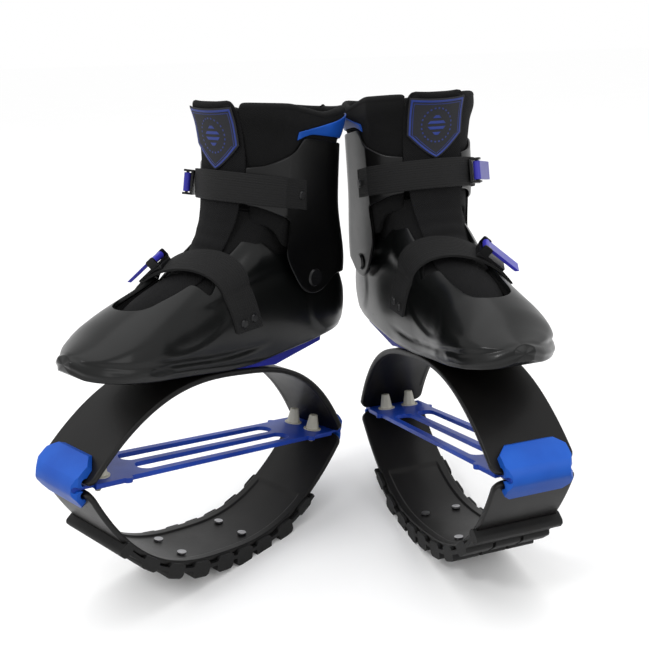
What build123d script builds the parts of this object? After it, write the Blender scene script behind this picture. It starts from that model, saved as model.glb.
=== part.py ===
from build123d import *
from math import atan, cos, degrees, hypot, radians, sin
import os

# A pair of rebound boots. Each boot is a moulded shell with a hinged ankle cuff, a soft liner and two
# buckled straps. It is bolted on a bow frame: an upper and a lower bow that meet in two end caps, with
# a flat stretch spring between the caps and a rubber tread under the lower bow.
# The right boot is drawn in its own frame: x towards the toe, y towards the other foot, z up from under
# the middle of the frame. The left boot is its mirror image.

# How the pair stands: each boot turned out, and rocked back onto the rear of its tread
lean_angle = 12.6
turn_out_angle = 29.6
stand_height = 5.4
right_stand = (-129.5, -59.9)
left_stand = (129.5, 5.9)

# Fits and cutting
fit_gap = 0.3
pin_gap = 0.05
overrun = 60

# Bow frame
bow_reach = 165
bow_width = 78
bow_thickness = 5.5
bow_corner = 9
hinge_height = 113.6
end_rise = 5.1
upper_crown = 202.6
upper_drop = upper_crown - hinge_height - end_rise
upper_power = 2.8
lower_crown = 12
lower_rise = hinge_height - end_rise - lower_crown
lower_power = 2.7
bow_place_shares = (-1, -0.93, -0.82, -0.66, -0.46, -0.23, 0, 0.23, 0.46, 0.66, 0.82, 0.93, 1)
tray_end = 54
tray_reach = bow_reach - tray_end
tray_rim = 9
tray_depth = 1.8
bead_radius = 3.4
bead_half_width = 26
bead_setback = 1.4
bead_place = bow_reach - bead_setback
bead_offset = 0.4
bead_rise = end_rise + bead_offset

# Stretch spring: three bars between two end plates, and a tongue with a bead into each cap
spring_thickness = 4.6
spring_half_width = 29.5
spring_bar = 7
plate_setback = 12
plate_reach = bow_reach - plate_setback
plate_half_width = 32
tongue_thickness = 3
tongue_half_width = 28
tongue_overhang = 6.5
tongue_reach = bow_reach + tongue_overhang
tongue_bead_radius = 2.5
knob_radius = 5
knob_setback = 33
knob_place = plate_reach - knob_setback
slot_end = 22
slot_reach = knob_place - slot_end

# Pegs through the end plates
peg_setback = 14
peg_place = plate_reach - peg_setback
peg_spread = 14.5
peg_neck_radius = 4
peg_foot_radius = 7.4
peg_tip_radius = 4.6
peg_rise = 16.5
peg_skirt_radius = 9.6
peg_skirt = 1.2
peg_nut_radius = 6.2
peg_nut_tip_radius = 2.4
peg_drop = 9
peg_facets = 8

# End caps
cap_half_width = 31
cap_wall = 5
cap_lap = 14
cap_nose_wall = 6.1
cap_nose = tongue_reach + cap_nose_wall
cap_notch = 1.6

# Tread
tread_base = 4
tread_edge = 3.5
tread_half_width = bow_width / 2 + tread_edge
lug_depth = 13.5
lug_length = 21
lug_wrap = 4
lug_corner = 4.5
lug_place_shares = (0.58, 0.394, 0.206, 0.018, -0.14, -0.3, -0.48, -0.65)
lug_depth_shares = (0.58, 0.76, 0.87, 0.9, 0.98, 1, 0.98, 0.5)
lip_share = 0.74
lip_setback = 2.1
tread_reach = lip_share * bow_reach - lip_setback
lip_length = 11
lip_depth = 9.5
groove_width = 3
groove_spread = 14
tread_screw_place = 40
tread_screw_spread = 18
screw_head_radius = 4.5
screw_head = 1.6
screw_shank_radius = 2
screw_length = 7

# Boot shell
boot_toe = 176
boot_heel = -156
sole_height = upper_crown + fit_gap
heel_lift = 34
ball_half_width = 50
throat_rise = 147
shell_wall = 3.6
welt_share = 0.93
shoulder_share = 0.9
# heel to toe: place, then bottom, medial side, lateral side, shoulder and top
shell_shares = (
    (0.0, 1.2, 0.24, -0.24, 0.38, 0.43),
    (0.015, 1.05, 0.5, -0.5, 0.46, 0.55),
    (0.042, 1.0, 0.68, -0.68, 0.54, 0.65),
    (0.108, 0.86, 0.84, -0.84, 0.64, 0.86),
    (0.214, 0.62, 0.92, -0.92, 0.687, 0.986),
    (0.334, 0.36, 0.94, -0.92, 0.66, 1.0),
    (0.455, 0.09, 0.92, -0.9, 0.592, 0.966),
    (0.575, 0.0, 0.92, -0.92, 0.469, 0.755),
    (0.696, 0.0, 0.96, -0.98, 0.333, 0.558),
    (0.801, 0.0, 1.02, -1.0, 0.252, 0.422),
    (0.877, 0.01, 0.98, -0.88, 0.197, 0.32),
    (0.937, 0.04, 0.84, -0.58, 0.15, 0.224),
    (0.976, 0.08, 0.62, -0.28, 0.125, 0.17),
    (1.0, 0.2, 0.36, 0.0, 0.12, 0.142),
)

# Side outlines, as shares of the outline's reach and of the height from the sole to the collar's top
collar_rise = 262
outline_setback = 11
outline_reach = boot_toe - outline_setback
shell_rim_shares = (
    (0.37, 1.0), (0.37, 0.302), (0.31, 0.266), (0.2, 0.38), (0.06, 0.505), (-0.145, 0.425), (-0.36, 0.436),
    (-1.2, 0.436), (-1.2, 1.0),
)
cuff_shares = (
    (0.16, 0.592), (0.16, 0.706), (-0.133, 0.793), (-0.182, 0.846), (-1.1, 0.866), (-1.1, 0.372),
    (-0.62, 0.36), (-0.55, 0.3), (-0.436, 0.276), (-0.33, 0.3), (-0.158, 0.42), (-0.182, 0.545),
    (0.024, 0.586),
)
trim_shares = (
    (-0.14, 0.83), (-0.14, 0.86), (-0.64, 0.975), (-1.1, 0.985), (-1.1, 0.876), (-0.19, 0.862),
)
collar_shares = (
    (0.3, 0.915), (-0.06, 0.945), (-0.36, 0.94), (-0.64, 0.995), (-1.1, 1.0), (-1.1, 0.452), (-0.17, 0.452),
    (-0.06, 0.525), (0.3, 0.525),
)
# the tongue's front face from the toe up to the shin, and its half width there
tongue_shares = (
    (0.6, 0.235, 0.62), (0.48, 0.278, 0.72), (0.32, 0.338, 0.73), (0.2, 0.43, 0.73), (0.135, 0.56, 0.87),
    (0.13, 0.7, 1), (0.185, 0.84, 1), (0.26, 0.925, 0.97),
)
tongue_pad = 8
tongue_edge = 2.5
shin_half_width = 30
vamp_reach = 122
vamp_half_width = 23
throat_half_width = 30
throat_place = 20

# Levels of the ankle, as shares of the collar's rise, and the rear, front and half width at each
cuff_wall = 3
ankle_level_shares = (0.26, 0.39, 0.64, 0.88)
ankle_rounds = ((-150, 10, 52), (-148, 10, 52.5), (-126, 22, 56), (-117, 26, 57))
collar_level_shares = (0.45, 0.57, 0.72, 0.84, 0.9, 1.0)
collar_rounds = (
    (-138, 14, 47.5), (-127.5, 13, 50), (-117, 18, 52), (-113, 30, 53), (-117, 38, 57), (-121, 43, 58),
)
collar_wall = 9
ring_rear_share = 0.9
ring_front_share = 0.7
cuff_mouth_half_width = 31

# Liner and footbed
liner_wall = 5
footbed_thickness = 4
footbed_half_width = 26
footbed_heel = -122
footbed_toe = 128

# Heel wedge between the shell and the upper bow
wedge_half_width = 36
wedge_front = 12
wedge_bend = -46
wedge_heel = -110
wedge_heel_depth = 6

# Bolts through the sole, the wedge and the bow
bolt_places = (0, 44)
bolt_radius = 3
bolt_head_radius = 6.5
bolt_head = 2.4
nut_radius = 5
nut_height = 2.6

# Straps, buckles and levers
strap_thickness = 2
ankle_strap_low_share = 0.594
ankle_strap_high_share = 0.7
ankle_strap_back = -42
ankle_strap_front = 3.5
instep_strap_width = 28
instep_strap_turn = 27
instep_strap_dip = 20
instep_strap_rise = 89.1
instep_strap_place = (49, 2, sole_height + instep_strap_rise)
instep_strap_medial = (76, -56)
instep_strap_lateral = (-66, -22)
buckle_length = 30
buckle_width = 24
buckle_plate = 2
buckle_ear = 2
buckle_ear_height = 9.5
buckle_pin_radius = 1.5
lever_length = 34
lever_thickness = 3
lever_width = 18
lever_eye_radius = 3.4
buckle_stand = 0.6
lever_rise = 5.8
instep_buckle_place = (-32.8, -3.15)
instep_buckle_tilt = 46
ankle_buckle_angle = 48

# Ankle pivots and rivets
pivot_place = -72
pivot_rise = 90.1
pivot_height = sole_height + pivot_rise
pivot_radius = 3.5
pivot_boss_radius = 6
pivot_inner_face = 37.2
pivot_boss_face = 45.4
pivot_cuff_face = 49
pivot_outer_face = 52.7
pivot_head_radius = 9
pivot_head = 2
rivet_radius = 1.8
rivet_head_radius = 4
rivet_head = 1.4
cuff_rivet_rise = 169.1
cuff_rivet_place = (-34, sole_height + cuff_rivet_rise)
cuff_rivet_inner = 53
cuff_rivet_outer = 59
shell_rivet_rises = (51.6, 46.6)
shell_rivet_places = ((3, sole_height + shell_rivet_rises[0]), (15, sole_height + shell_rivet_rises[1]))
shell_rivet_inner = 42.9
shell_rivet_outer = 48.7

# Badge on the tongue: a plain shield
badge_half_width = 28
badge_height = 62
badge_thickness = 1.6
badge_foot_share = 0.665
badge_taper_share = 0.8


def upper_bow(place, depth):
    """A point at a depth under the upper bow's outer face."""
    reach = abs(place) / bow_reach
    slope = -upper_drop * upper_power * reach ** (upper_power - 1) / bow_reach
    length = hypot(1, slope)
    side = 1 if place >= 0 else -1
    height = upper_crown - upper_drop * reach ** upper_power
    return (place + side * depth * slope / length, height - depth / length)


def lower_bow(place, depth):
    """A point at a depth above the lower bow's outer face."""
    reach = abs(place) / bow_reach
    slope = lower_rise * lower_power * reach ** (lower_power - 1) / bow_reach
    length = hypot(1, slope)
    side = 1 if place >= 0 else -1
    height = lower_crown + lower_rise * reach ** lower_power
    return (place - side * depth * slope / length, height + depth / length)


def bow_points(bow, depth, reach=bow_reach):
    """Points along a bow at one depth, from the rear to the front."""
    return [bow(share * reach, depth) for share in bow_place_shares]


def side_points(shares):
    """A side outline from its shares of the outline's reach and the rise."""
    return [(outline_reach * along, sole_height + collar_rise * up) for along, up in shares]


def sole_level(along):
    """The height of the shell's underside at a place along the boot."""
    stations = [(boot_heel + (boot_toe - boot_heel) * row[0], row[1]) for row in shell_shares]
    for (rear, rear_share), (front, front_share) in zip(stations, stations[1:]):
        if rear <= along <= front:
            share = rear_share + (front_share - rear_share) * (along - rear) / (front - rear)
            return sole_height + heel_lift * share
    return sole_height + heel_lift


def shell_form(inset, first=0, last=None):
    """The boot's closed form, drawn in by an inset: a ruled loft of arcs from heel to toe."""
    heel = boot_heel + inset
    toe = boot_toe - inset
    with BuildPart() as form:
        for place, bottom, medial, lateral, shoulder, top in shell_shares[first:last]:
            station = heel + (toe - heel) * place
            low = sole_height + heel_lift * bottom + inset
            high = sole_height + throat_rise * shoulder - inset * shoulder_share
            crown = sole_height + throat_rise * top - inset
            left = ball_half_width * medial - inset
            right = ball_half_width * lateral + inset
            middle = (left + right) / 2
            half = (left - right) / 2
            bulge = (low + high) / 2
            with BuildSketch(Plane(origin=(station, 0, 0), x_dir=(0, 1, 0), z_dir=(1, 0, 0))):
                with BuildLine():
                    Line((middle - half * welt_share, low), (middle + half * welt_share, low))
                    ThreePointArc(
                        (middle + half * welt_share, low), (left, bulge), (middle + half * shoulder_share, high)
                    )
                    ThreePointArc(
                        (middle + half * shoulder_share, high), (middle, crown), (middle - half * shoulder_share, high)
                    )
                    ThreePointArc(
                        (middle - half * shoulder_share, high), (right, bulge), (middle - half * welt_share, low)
                    )
                make_face()
        loft(ruled=True)
    return form.part


def ankle_form(level_shares, rounds, inset):
    """A closed form round the ankle: a ruled loft of long rounds from the bottom up."""
    with BuildPart() as form:
        for level, (rear, front, half) in zip(level_shares, rounds):
            half = half - inset
            rear_corner = rear + inset + half * ring_rear_share
            front_corner = front - inset - half * ring_front_share
            with BuildSketch(Plane.XY.offset(sole_height + collar_rise * level)):
                with BuildLine():
                    ThreePointArc((rear_corner, half), (rear + inset, 0), (rear_corner, -half))
                    Line((rear_corner, -half), (front_corner, -half))
                    ThreePointArc((front_corner, -half), (front - inset, 0), (front_corner, half))
                    Line((front_corner, half), (rear_corner, half))
                make_face()
        loft(ruled=True)
    return form.part


def tongue_form(lift, thickness):
    """A crowned pad along the tongue's front face, lifted off it: a ruled loft of arcs."""
    rows = [(outline_reach * along, sole_height + collar_rise * up, shin_half_width * half)
            for along, up, half in tongue_shares]
    with BuildPart() as form:
        for index, (along, up, half) in enumerate(rows):
            before = rows[max(index - 1, 0)]
            after = rows[min(index + 1, len(rows) - 1)]
            run = Vector(after[0] - before[0], 0, after[1] - before[1])
            crown = tongue_pad - tongue_edge
            with BuildSketch(Plane(origin=(along, 0, up), x_dir=(0, 1, 0), z_dir=run)):
                with BuildLine():
                    ThreePointArc((-half, crown - lift), (0, -lift), (half, crown - lift))
                    if thickness < tongue_pad:
                        Line((half, crown - lift), (half, crown - lift + thickness))
                        ThreePointArc(
                            (half, crown - lift + thickness), (0, thickness - lift), (-half, crown - lift + thickness)
                        )
                        Line((-half, crown - lift + thickness), (-half, crown - lift))
                    else:
                        Polyline(
                            (half, crown - lift), (half, thickness - lift), (-half, thickness - lift),
                            (-half, crown - lift),
                        )
                make_face()
        loft(ruled=True)
    return form.part


# Upper bow, rolled into a bead at each end
with BuildPart() as upper_bow_part:
    with BuildSketch(Plane.XZ):
        with BuildLine():
            outer = Spline(*bow_points(upper_bow, 0))
            inner = Spline(*bow_points(upper_bow, bow_thickness))
            Line(outer @ 1, inner @ 1)
            Line(inner @ 0, outer @ 0)
        make_face()
    extrude(amount=bow_width / 2, both=True)
    end_edges = [edge for edge in upper_bow_part.edges().filter_by(GeomType.LINE) if edge.length < bow_width / 2]
    fillet(end_edges, radius=bow_corner)
    with BuildSketch(Plane.XZ):
        with Locations((bead_place, hinge_height + bead_rise), (-bead_place, hinge_height + bead_rise)):
            Circle(bead_radius)
    extrude(amount=bead_half_width, both=True)
    for bolt_place in bolt_places:
        with BuildSketch(Plane.XY.offset(upper_crown)):
            with Locations((bolt_place, 0)):
                Circle(bolt_radius + pin_gap)
        extrude(amount=overrun, both=True, mode=Mode.SUBTRACT)

# Lower bow, the same strip the other way up, with a tray in its inner face
with BuildPart() as lower_bow_part:
    with BuildSketch(Plane.XZ):
        with BuildLine():
            outer = Spline(*bow_points(lower_bow, 0))
            inner = Spline(*bow_points(lower_bow, bow_thickness))
            Line(outer @ 1, inner @ 1)
            Line(inner @ 0, outer @ 0)
        make_face()
    extrude(amount=bow_width / 2, both=True)
    end_edges = [edge for edge in lower_bow_part.edges().filter_by(GeomType.LINE) if edge.length < bow_width / 2]
    fillet(end_edges, radius=bow_corner)
    with BuildSketch(Plane.XZ):
        with Locations((bead_place, hinge_height - bead_rise), (-bead_place, hinge_height - bead_rise)):
            Circle(bead_radius)
    extrude(amount=bead_half_width, both=True)
    with BuildSketch(Plane.XZ):
        with BuildLine():
            floor = Spline(*bow_points(lower_bow, bow_thickness - tray_depth, tray_reach))
            Line(floor @ 1, floor @ 0)
        make_face()
    extrude(amount=bow_width / 2 - tray_rim, both=True, mode=Mode.SUBTRACT)
    with BuildSketch(Plane.XY.offset(lower_crown)):
        with GridLocations(2 * tread_screw_place, 2 * tread_screw_spread, 2, 2):
            Circle(screw_shank_radius + pin_gap)
    extrude(amount=overrun, both=True, mode=Mode.SUBTRACT)

# Stretch spring
with BuildPart() as spring:
    spring_bottom = hinge_height - spring_thickness / 2
    with BuildSketch(Plane.XY.offset(spring_bottom)):
        Rectangle(2 * knob_place, 2 * spring_half_width)
        with Locations(((knob_place + plate_reach) / 2, 0), (-(knob_place + plate_reach) / 2, 0)):
            Rectangle(plate_reach - knob_place, 2 * plate_half_width)
        slot_width = spring_half_width - 1.5 * spring_bar
        with GridLocations(0, slot_width + spring_bar, 1, 2):
            SlotOverall(2 * slot_reach, slot_width, mode=Mode.SUBTRACT)
        with GridLocations(2 * knob_place, 2 * spring_half_width, 2, 2):
            Circle(knob_radius)
        with GridLocations(2 * peg_place, 2 * peg_spread, 2, 2):
            Circle(peg_neck_radius + pin_gap, mode=Mode.SUBTRACT)
    extrude(amount=spring_thickness)
    with BuildSketch(Plane.XY.offset(hinge_height - tongue_thickness / 2)):
        tongue_middle = (plate_reach + tongue_reach) / 2
        with Locations((tongue_middle, 0), (-tongue_middle, 0)):
            Rectangle(tongue_reach - plate_reach, 2 * tongue_half_width)
    extrude(amount=tongue_thickness)
    with BuildSketch(Plane.XZ):
        with Locations((tongue_reach, hinge_height), (-tongue_reach, hinge_height)):
            Circle(tongue_bead_radius)
    extrude(amount=tongue_half_width, both=True)

# Pegs: a faceted cone with a skirt above the plate, a neck through it and a pointed nut below
peg_top_level = hinge_height + spring_thickness / 2
peg_low_level = hinge_height - spring_thickness / 2
with BuildPart() as front_pegs:
    with Locations((peg_place, peg_spread, 0), (peg_place, -peg_spread, 0)):
        with Locations((0, 0, peg_low_level)):
            Cylinder(peg_neck_radius, spring_thickness, align=(Align.CENTER, Align.CENTER, Align.MIN))
        with Locations((0, 0, peg_top_level)):
            Cylinder(peg_skirt_radius, peg_skirt, align=(Align.CENTER, Align.CENTER, Align.MIN))
    for side in (1, -1):
        for radius, level in (
            (peg_foot_radius, peg_top_level + peg_skirt),
            (peg_tip_radius, peg_top_level + peg_rise),
        ):
            with BuildSketch(Plane.XY.offset(level)):
                with Locations((peg_place, side * peg_spread)):
                    RegularPolygon(radius, peg_facets)
        loft(ruled=True)
        for radius, level in (
            (peg_nut_tip_radius, peg_low_level - peg_drop),
            (peg_nut_radius, peg_low_level),
        ):
            with BuildSketch(Plane.XY.offset(level)):
                with Locations((peg_place, side * peg_spread)):
                    RegularPolygon(radius, peg_facets)
        loft(ruled=True)

with BuildPart() as rear_pegs:
    add(front_pegs.part)
    mirror(about=Plane.YZ, mode=Mode.REPLACE)

# Front cap: hooks over both bow ends and holds the spring's tongue
cap_start = bow_reach - cap_lap
with BuildPart() as front_cap:
    with BuildSketch(Plane.XZ):
        with BuildLine():
            upper_lip = upper_bow(cap_start, -fit_gap)
            upper_edge = upper_bow(cap_start + cap_notch, -cap_wall)
            lower_lip = lower_bow(cap_start + cap_wall, -fit_gap)
            lower_edge = lower_bow(cap_start + cap_wall + cap_notch, -cap_wall)
            upper_bulge = upper_bow(bow_reach - cap_notch, -cap_wall - 2 * cap_notch)
            lower_bulge = lower_bow(bow_reach - cap_notch, -cap_wall - cap_notch)
            Line(upper_lip, upper_edge)
            ThreePointArc(upper_edge, upper_bulge, (cap_nose, hinge_height + cap_notch))
            Line((cap_nose, hinge_height + cap_notch), (cap_nose - cap_notch, hinge_height))
            Line((cap_nose - cap_notch, hinge_height), (cap_nose, hinge_height - cap_notch))
            ThreePointArc((cap_nose, hinge_height - cap_notch), lower_bulge, lower_edge)
            Polyline(lower_edge, lower_lip, (cap_start - cap_lap, hinge_height), upper_lip)
        make_face()
        with BuildLine():
            upper_line = [upper_bow(share * bow_reach, -fit_gap) for share in (0.8, 0.9, 0.95, 1)]
            lower_line = [lower_bow(share * bow_reach, -fit_gap) for share in (1, 0.95, 0.9, 0.8)]
            Spline(*upper_line)
            Line(upper_line[-1], lower_line[0])
            Spline(*lower_line)
            Line(lower_line[-1], upper_line[0])
        make_face(mode=Mode.SUBTRACT)
        for rise in (bead_rise, -bead_rise):
            with Locations((bead_place, hinge_height + rise)):
                Circle(bead_radius + fit_gap, mode=Mode.SUBTRACT)
        with Locations(((bow_reach + tongue_reach) / 2, hinge_height)):
            Rectangle(tongue_reach - bow_reach + cap_notch, tongue_thickness + 2 * fit_gap, mode=Mode.SUBTRACT)
        with Locations((tongue_reach, hinge_height)):
            Circle(tongue_bead_radius + fit_gap, mode=Mode.SUBTRACT)
    extrude(amount=cap_half_width, both=True)

with BuildPart() as rear_cap:
    add(front_cap.part)
    mirror(about=Plane.YZ, mode=Mode.REPLACE)

# Tread: a rubber base under the lower bow with lugs that wrap the bow's edges
floor_plane = Plane(
    origin=(-stand_height * sin(radians(lean_angle)), 0, -stand_height * cos(radians(lean_angle))),
    z_dir=(sin(radians(lean_angle)), 0, cos(radians(lean_angle))),
)
with BuildPart() as tread:
    with BuildSketch(Plane.XZ):
        with BuildLine():
            top = Spline(*bow_points(lower_bow, -fit_gap, tread_reach))
            bottom = Spline(*bow_points(lower_bow, -fit_gap - tread_base, tread_reach))
            Line(top @ 1, bottom @ 1)
            Line(bottom @ 0, top @ 0)
        make_face()
    extrude(amount=tread_half_width, both=True)
    with BuildSketch(Plane.XZ):
        for place_share, depth_share in zip(lug_place_shares, lug_depth_shares):
            place = place_share * bow_reach
            depth = lug_depth * depth_share
            slope = lower_rise * lower_power * abs(place_share) ** (lower_power - 1) / bow_reach
            angle = degrees(atan(slope)) * (1 if place_share > 0 else -1)
            with Locations(Location(lower_bow(place, (lug_wrap - depth) / 2), angle)):
                RectangleRounded(lug_length, depth + lug_wrap, lug_corner - pin_gap)
        lip_place = lip_share * bow_reach
        lip_slope = lower_rise * lower_power * lip_share ** (lower_power - 1) / bow_reach
        with Locations(Location(lower_bow(lip_place, (lug_wrap - lip_depth) / 2), degrees(atan(lip_slope)))):
            RectangleRounded(lip_length, lip_depth + lug_wrap, lug_wrap)
    extrude(amount=tread_half_width, both=True)
    with BuildSketch(Plane.XZ):
        with BuildLine():
            bed = Spline(*bow_points(lower_bow, -fit_gap))
            Polyline(bed @ 1, (bow_reach, hinge_height), (-bow_reach, hinge_height), bed @ 0)
        make_face()
    extrude(amount=bow_width / 2 + fit_gap, both=True, mode=Mode.SUBTRACT)
    for side in (1, -1):
        with BuildSketch(Plane.XZ.offset(side * groove_spread)):
            with BuildLine():
                roof = Spline(*bow_points(lower_bow, -fit_gap - tread_base, tread_reach))
                Polyline(roof @ 1, (tread_reach, -overrun), (-tread_reach, -overrun), roof @ 0)
            make_face()
        extrude(amount=groove_width / 2, both=True, mode=Mode.SUBTRACT)
    with BuildSketch(Plane.XY.offset(lower_crown)):
        with GridLocations(2 * tread_screw_place, 2 * tread_screw_spread, 2, 2):
            Circle(screw_shank_radius + pin_gap)
    extrude(amount=overrun, both=True, mode=Mode.SUBTRACT)
    split(bisect_by=floor_plane, keep=Keep.TOP)

# Screws up through the tread into the lower bow
with BuildPart() as tread_screws:
    for along in (tread_screw_place, -tread_screw_place):
        seat = lower_bow(along, bow_thickness - tray_depth)[1] + 3 * fit_gap
        for across in (tread_screw_spread, -tread_screw_spread):
            with Locations((along, across, seat)):
                Cylinder(screw_head_radius, screw_head, align=(Align.CENTER, Align.CENTER, Align.MIN))
                Cylinder(screw_shank_radius, screw_length, align=(Align.CENTER, Align.CENTER, Align.MAX))

# Boot shell: a moulded form, hollow and open along its rim and over the instep
outside = shell_form(0)
inside = shell_form(shell_wall)
with BuildPart() as shell:
    add(outside)
    add(inside, mode=Mode.SUBTRACT)
    with BuildSketch(Plane.XZ):
        with BuildLine():
            Polyline(*side_points(shell_rim_shares), close=True)
        make_face()
    extrude(amount=bow_width, both=True, mode=Mode.SUBTRACT)
    with BuildSketch(Plane.XY.offset(sole_height + shell_wall + footbed_thickness)):
        with BuildLine():
            ThreePointArc(
                (vamp_reach - vamp_half_width, vamp_half_width), (vamp_reach, 0),
                (vamp_reach - vamp_half_width, -vamp_half_width),
            )
            Polyline(
                (vamp_reach - vamp_half_width, -vamp_half_width), (throat_place, -throat_half_width),
                (throat_place - bow_width, -throat_half_width), (throat_place - bow_width, throat_half_width),
                (throat_place, throat_half_width), (vamp_reach - vamp_half_width, vamp_half_width),
            )
        make_face()
    extrude(amount=collar_rise, mode=Mode.SUBTRACT)
    with BuildSketch(Plane.XY.offset(sole_height)):
        for bolt_place in bolt_places:
            with Locations((bolt_place, 0)):
                Circle(bolt_radius + pin_gap)
    extrude(amount=shell_wall + heel_lift, both=True, mode=Mode.SUBTRACT)
    with BuildSketch(Plane.XZ):
        with Locations((pivot_place, pivot_height)):
            Circle(pivot_radius + pin_gap)
    extrude(amount=bow_width, both=True, mode=Mode.SUBTRACT)
    with BuildSketch(Plane.XZ):
        with Locations(*shell_rivet_places):
            Circle(rivet_radius + pin_gap)
    extrude(amount=-bow_width, mode=Mode.SUBTRACT)

# Footbed: a board along the inner sole, up over the heel
board_places = (footbed_toe, 40, -5, -45, -85, footbed_heel)
board_line = [(along, sole_level(along) + shell_wall + 4 * fit_gap) for along in board_places]
board_top = [(along, level + footbed_thickness) for along, level in board_line]
with BuildPart() as footbed:
    with BuildSketch(Plane.XZ):
        with BuildLine():
            Polyline(*board_line, *reversed(board_top), close=True)
        make_face()
    extrude(amount=footbed_half_width, both=True)
    board_ends = [edge for edge in footbed.edges().filter_by(Axis.Z)]
    fillet(board_ends, radius=footbed_half_width / 2)
    with BuildSketch(Plane.XY.offset(sole_height)):
        for bolt_place in bolt_places:
            with Locations((bolt_place, 0)):
                Circle(bolt_head_radius + fit_gap)
    extrude(amount=collar_rise, mode=Mode.SUBTRACT)

# Soft bootie inside the shell
with BuildPart() as liner_foot:
    add(shell_form(shell_wall + fit_gap, 1, -3))
    add(shell_form(shell_wall + fit_gap + liner_wall, 1, -3), mode=Mode.SUBTRACT)
    with BuildSketch(Plane.XZ):
        with BuildLine():
            Polyline(*side_points(shell_rim_shares), close=True)
        make_face()
    extrude(amount=bow_width, both=True, mode=Mode.SUBTRACT)
    with BuildSketch(Plane.XY.offset(sole_height + shell_wall + footbed_thickness)):
        Rectangle(2 * vamp_reach, 2 * vamp_half_width + 2 * fit_gap)
    extrude(amount=collar_rise, mode=Mode.SUBTRACT)
    with BuildSketch(Plane.XZ):
        with BuildLine():
            lining_line = [(along, level + fit_gap) for along, level in board_top]
            Polyline(
                (boot_toe, lining_line[0][1]), *lining_line, (boot_heel, lining_line[-1][1] + fit_gap),
                (boot_heel, 0), (boot_toe, 0), close=True,
            )
        make_face()
    extrude(amount=bow_width, both=True, mode=Mode.SUBTRACT)
    with BuildSketch(Plane.XZ):
        with Locations((pivot_place, pivot_height)):
            Circle(pivot_head_radius + fit_gap)
    extrude(amount=bow_width, both=True, mode=Mode.SUBTRACT)

# Heel wedge between the bow and the raised heel
with BuildPart() as heel_wedge:
    with BuildSketch(Plane.XZ):
        with BuildLine():
            wedge_top = sole_level(wedge_heel)
            Polyline(
                (wedge_front, sole_height), (wedge_bend, sole_height), (wedge_heel, wedge_top - wedge_heel_depth),
                (wedge_heel, wedge_top + wedge_heel_depth), (wedge_front, sole_height + wedge_heel_depth), close=True,
            )
        make_face()
    extrude(amount=wedge_half_width, both=True)
    add(outside, mode=Mode.SUBTRACT)
    with BuildSketch(Plane.XY.offset(sole_height)):
        with Locations((bolt_places[0], 0)):
            Circle(bolt_radius + pin_gap)
    extrude(amount=heel_lift, both=True, mode=Mode.SUBTRACT)

# Bolts that hold the shell, the wedge and the upper bow together
with BuildPart() as mount_bolts:
    for bolt_place in bolt_places:
        sole_top = sole_level(bolt_place) + shell_wall + 3 * fit_gap
        bow_bottom = upper_bow(bolt_place, bow_thickness)[1] - 3 * fit_gap
        with Locations((bolt_place, 0, bow_bottom - nut_height)):
            Cylinder(nut_radius, nut_height - pin_gap, align=(Align.CENTER, Align.CENTER, Align.MIN))
            Cylinder(bolt_radius, sole_top - bow_bottom + nut_height, align=(Align.CENTER, Align.CENTER, Align.MIN))
        with Locations((bolt_place, 0, sole_top)):
            Cylinder(bolt_head_radius, bolt_head, align=(Align.CENTER, Align.CENTER, Align.MIN))

# Ankle cuff: a band that is open in front and turns on the ankle pivots
with BuildPart() as cuff:
    add(ankle_form(ankle_level_shares, ankle_rounds, 0))
    add(ankle_form(ankle_level_shares, ankle_rounds, cuff_wall), mode=Mode.SUBTRACT)
    with BuildSketch(Plane.XZ):
        with BuildLine():
            Polyline(*side_points(cuff_shares), close=True)
        make_face()
    extrude(amount=2 * bow_width, both=True, mode=Mode.INTERSECT)
    with BuildSketch(Plane.XY.offset(sole_height)):
        with Locations((bow_reach / 2, 0)):
            Rectangle(bow_reach, 2 * cuff_mouth_half_width)
    extrude(amount=collar_rise, mode=Mode.SUBTRACT)
    with BuildSketch(Plane.XZ):
        with Locations((pivot_place, pivot_height)):
            Circle(pivot_radius + pin_gap)
        with Locations(cuff_rivet_place):
            Circle(rivet_radius + pin_gap)
    extrude(amount=bow_width, both=True, mode=Mode.SUBTRACT)

# Padded collar inside the cuff
with BuildPart() as liner_collar:
    add(ankle_form(collar_level_shares, collar_rounds, 0))
    add(ankle_form(collar_level_shares, collar_rounds, collar_wall), mode=Mode.SUBTRACT)
    with BuildSketch(Plane.XZ):
        with BuildLine():
            Polyline(*side_points(collar_shares), close=True)
        make_face()
    extrude(amount=2 * bow_width, both=True, mode=Mode.INTERSECT)
    with BuildSketch(Plane.XY.offset(sole_height)):
        with Locations((bow_reach / 2, 0)):
            Rectangle(bow_reach, 2 * shin_half_width + 2 * fit_gap)
    extrude(amount=collar_rise + overrun, mode=Mode.SUBTRACT)
    with BuildSketch(Plane.XZ):
        with Locations((pivot_place, pivot_height)):
            Circle(pivot_head_radius + fit_gap)
    extrude(amount=bow_width, both=True, mode=Mode.SUBTRACT)

# Trim round the back of the collar
with BuildPart() as collar_trim:
    add(ankle_form(collar_level_shares, collar_rounds, -fit_gap - strap_thickness))
    add(ankle_form(collar_level_shares, collar_rounds, -fit_gap), mode=Mode.SUBTRACT)
    with BuildSketch(Plane.XZ):
        with BuildLine():
            Polyline(*side_points(trim_shares), close=True)
        make_face()
    extrude(amount=2 * bow_width, both=True, mode=Mode.INTERSECT)

# Tongue: a crowned pad up the instep and the shin
with BuildPart() as tongue:
    add(tongue_form(0, tongue_pad))

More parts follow.
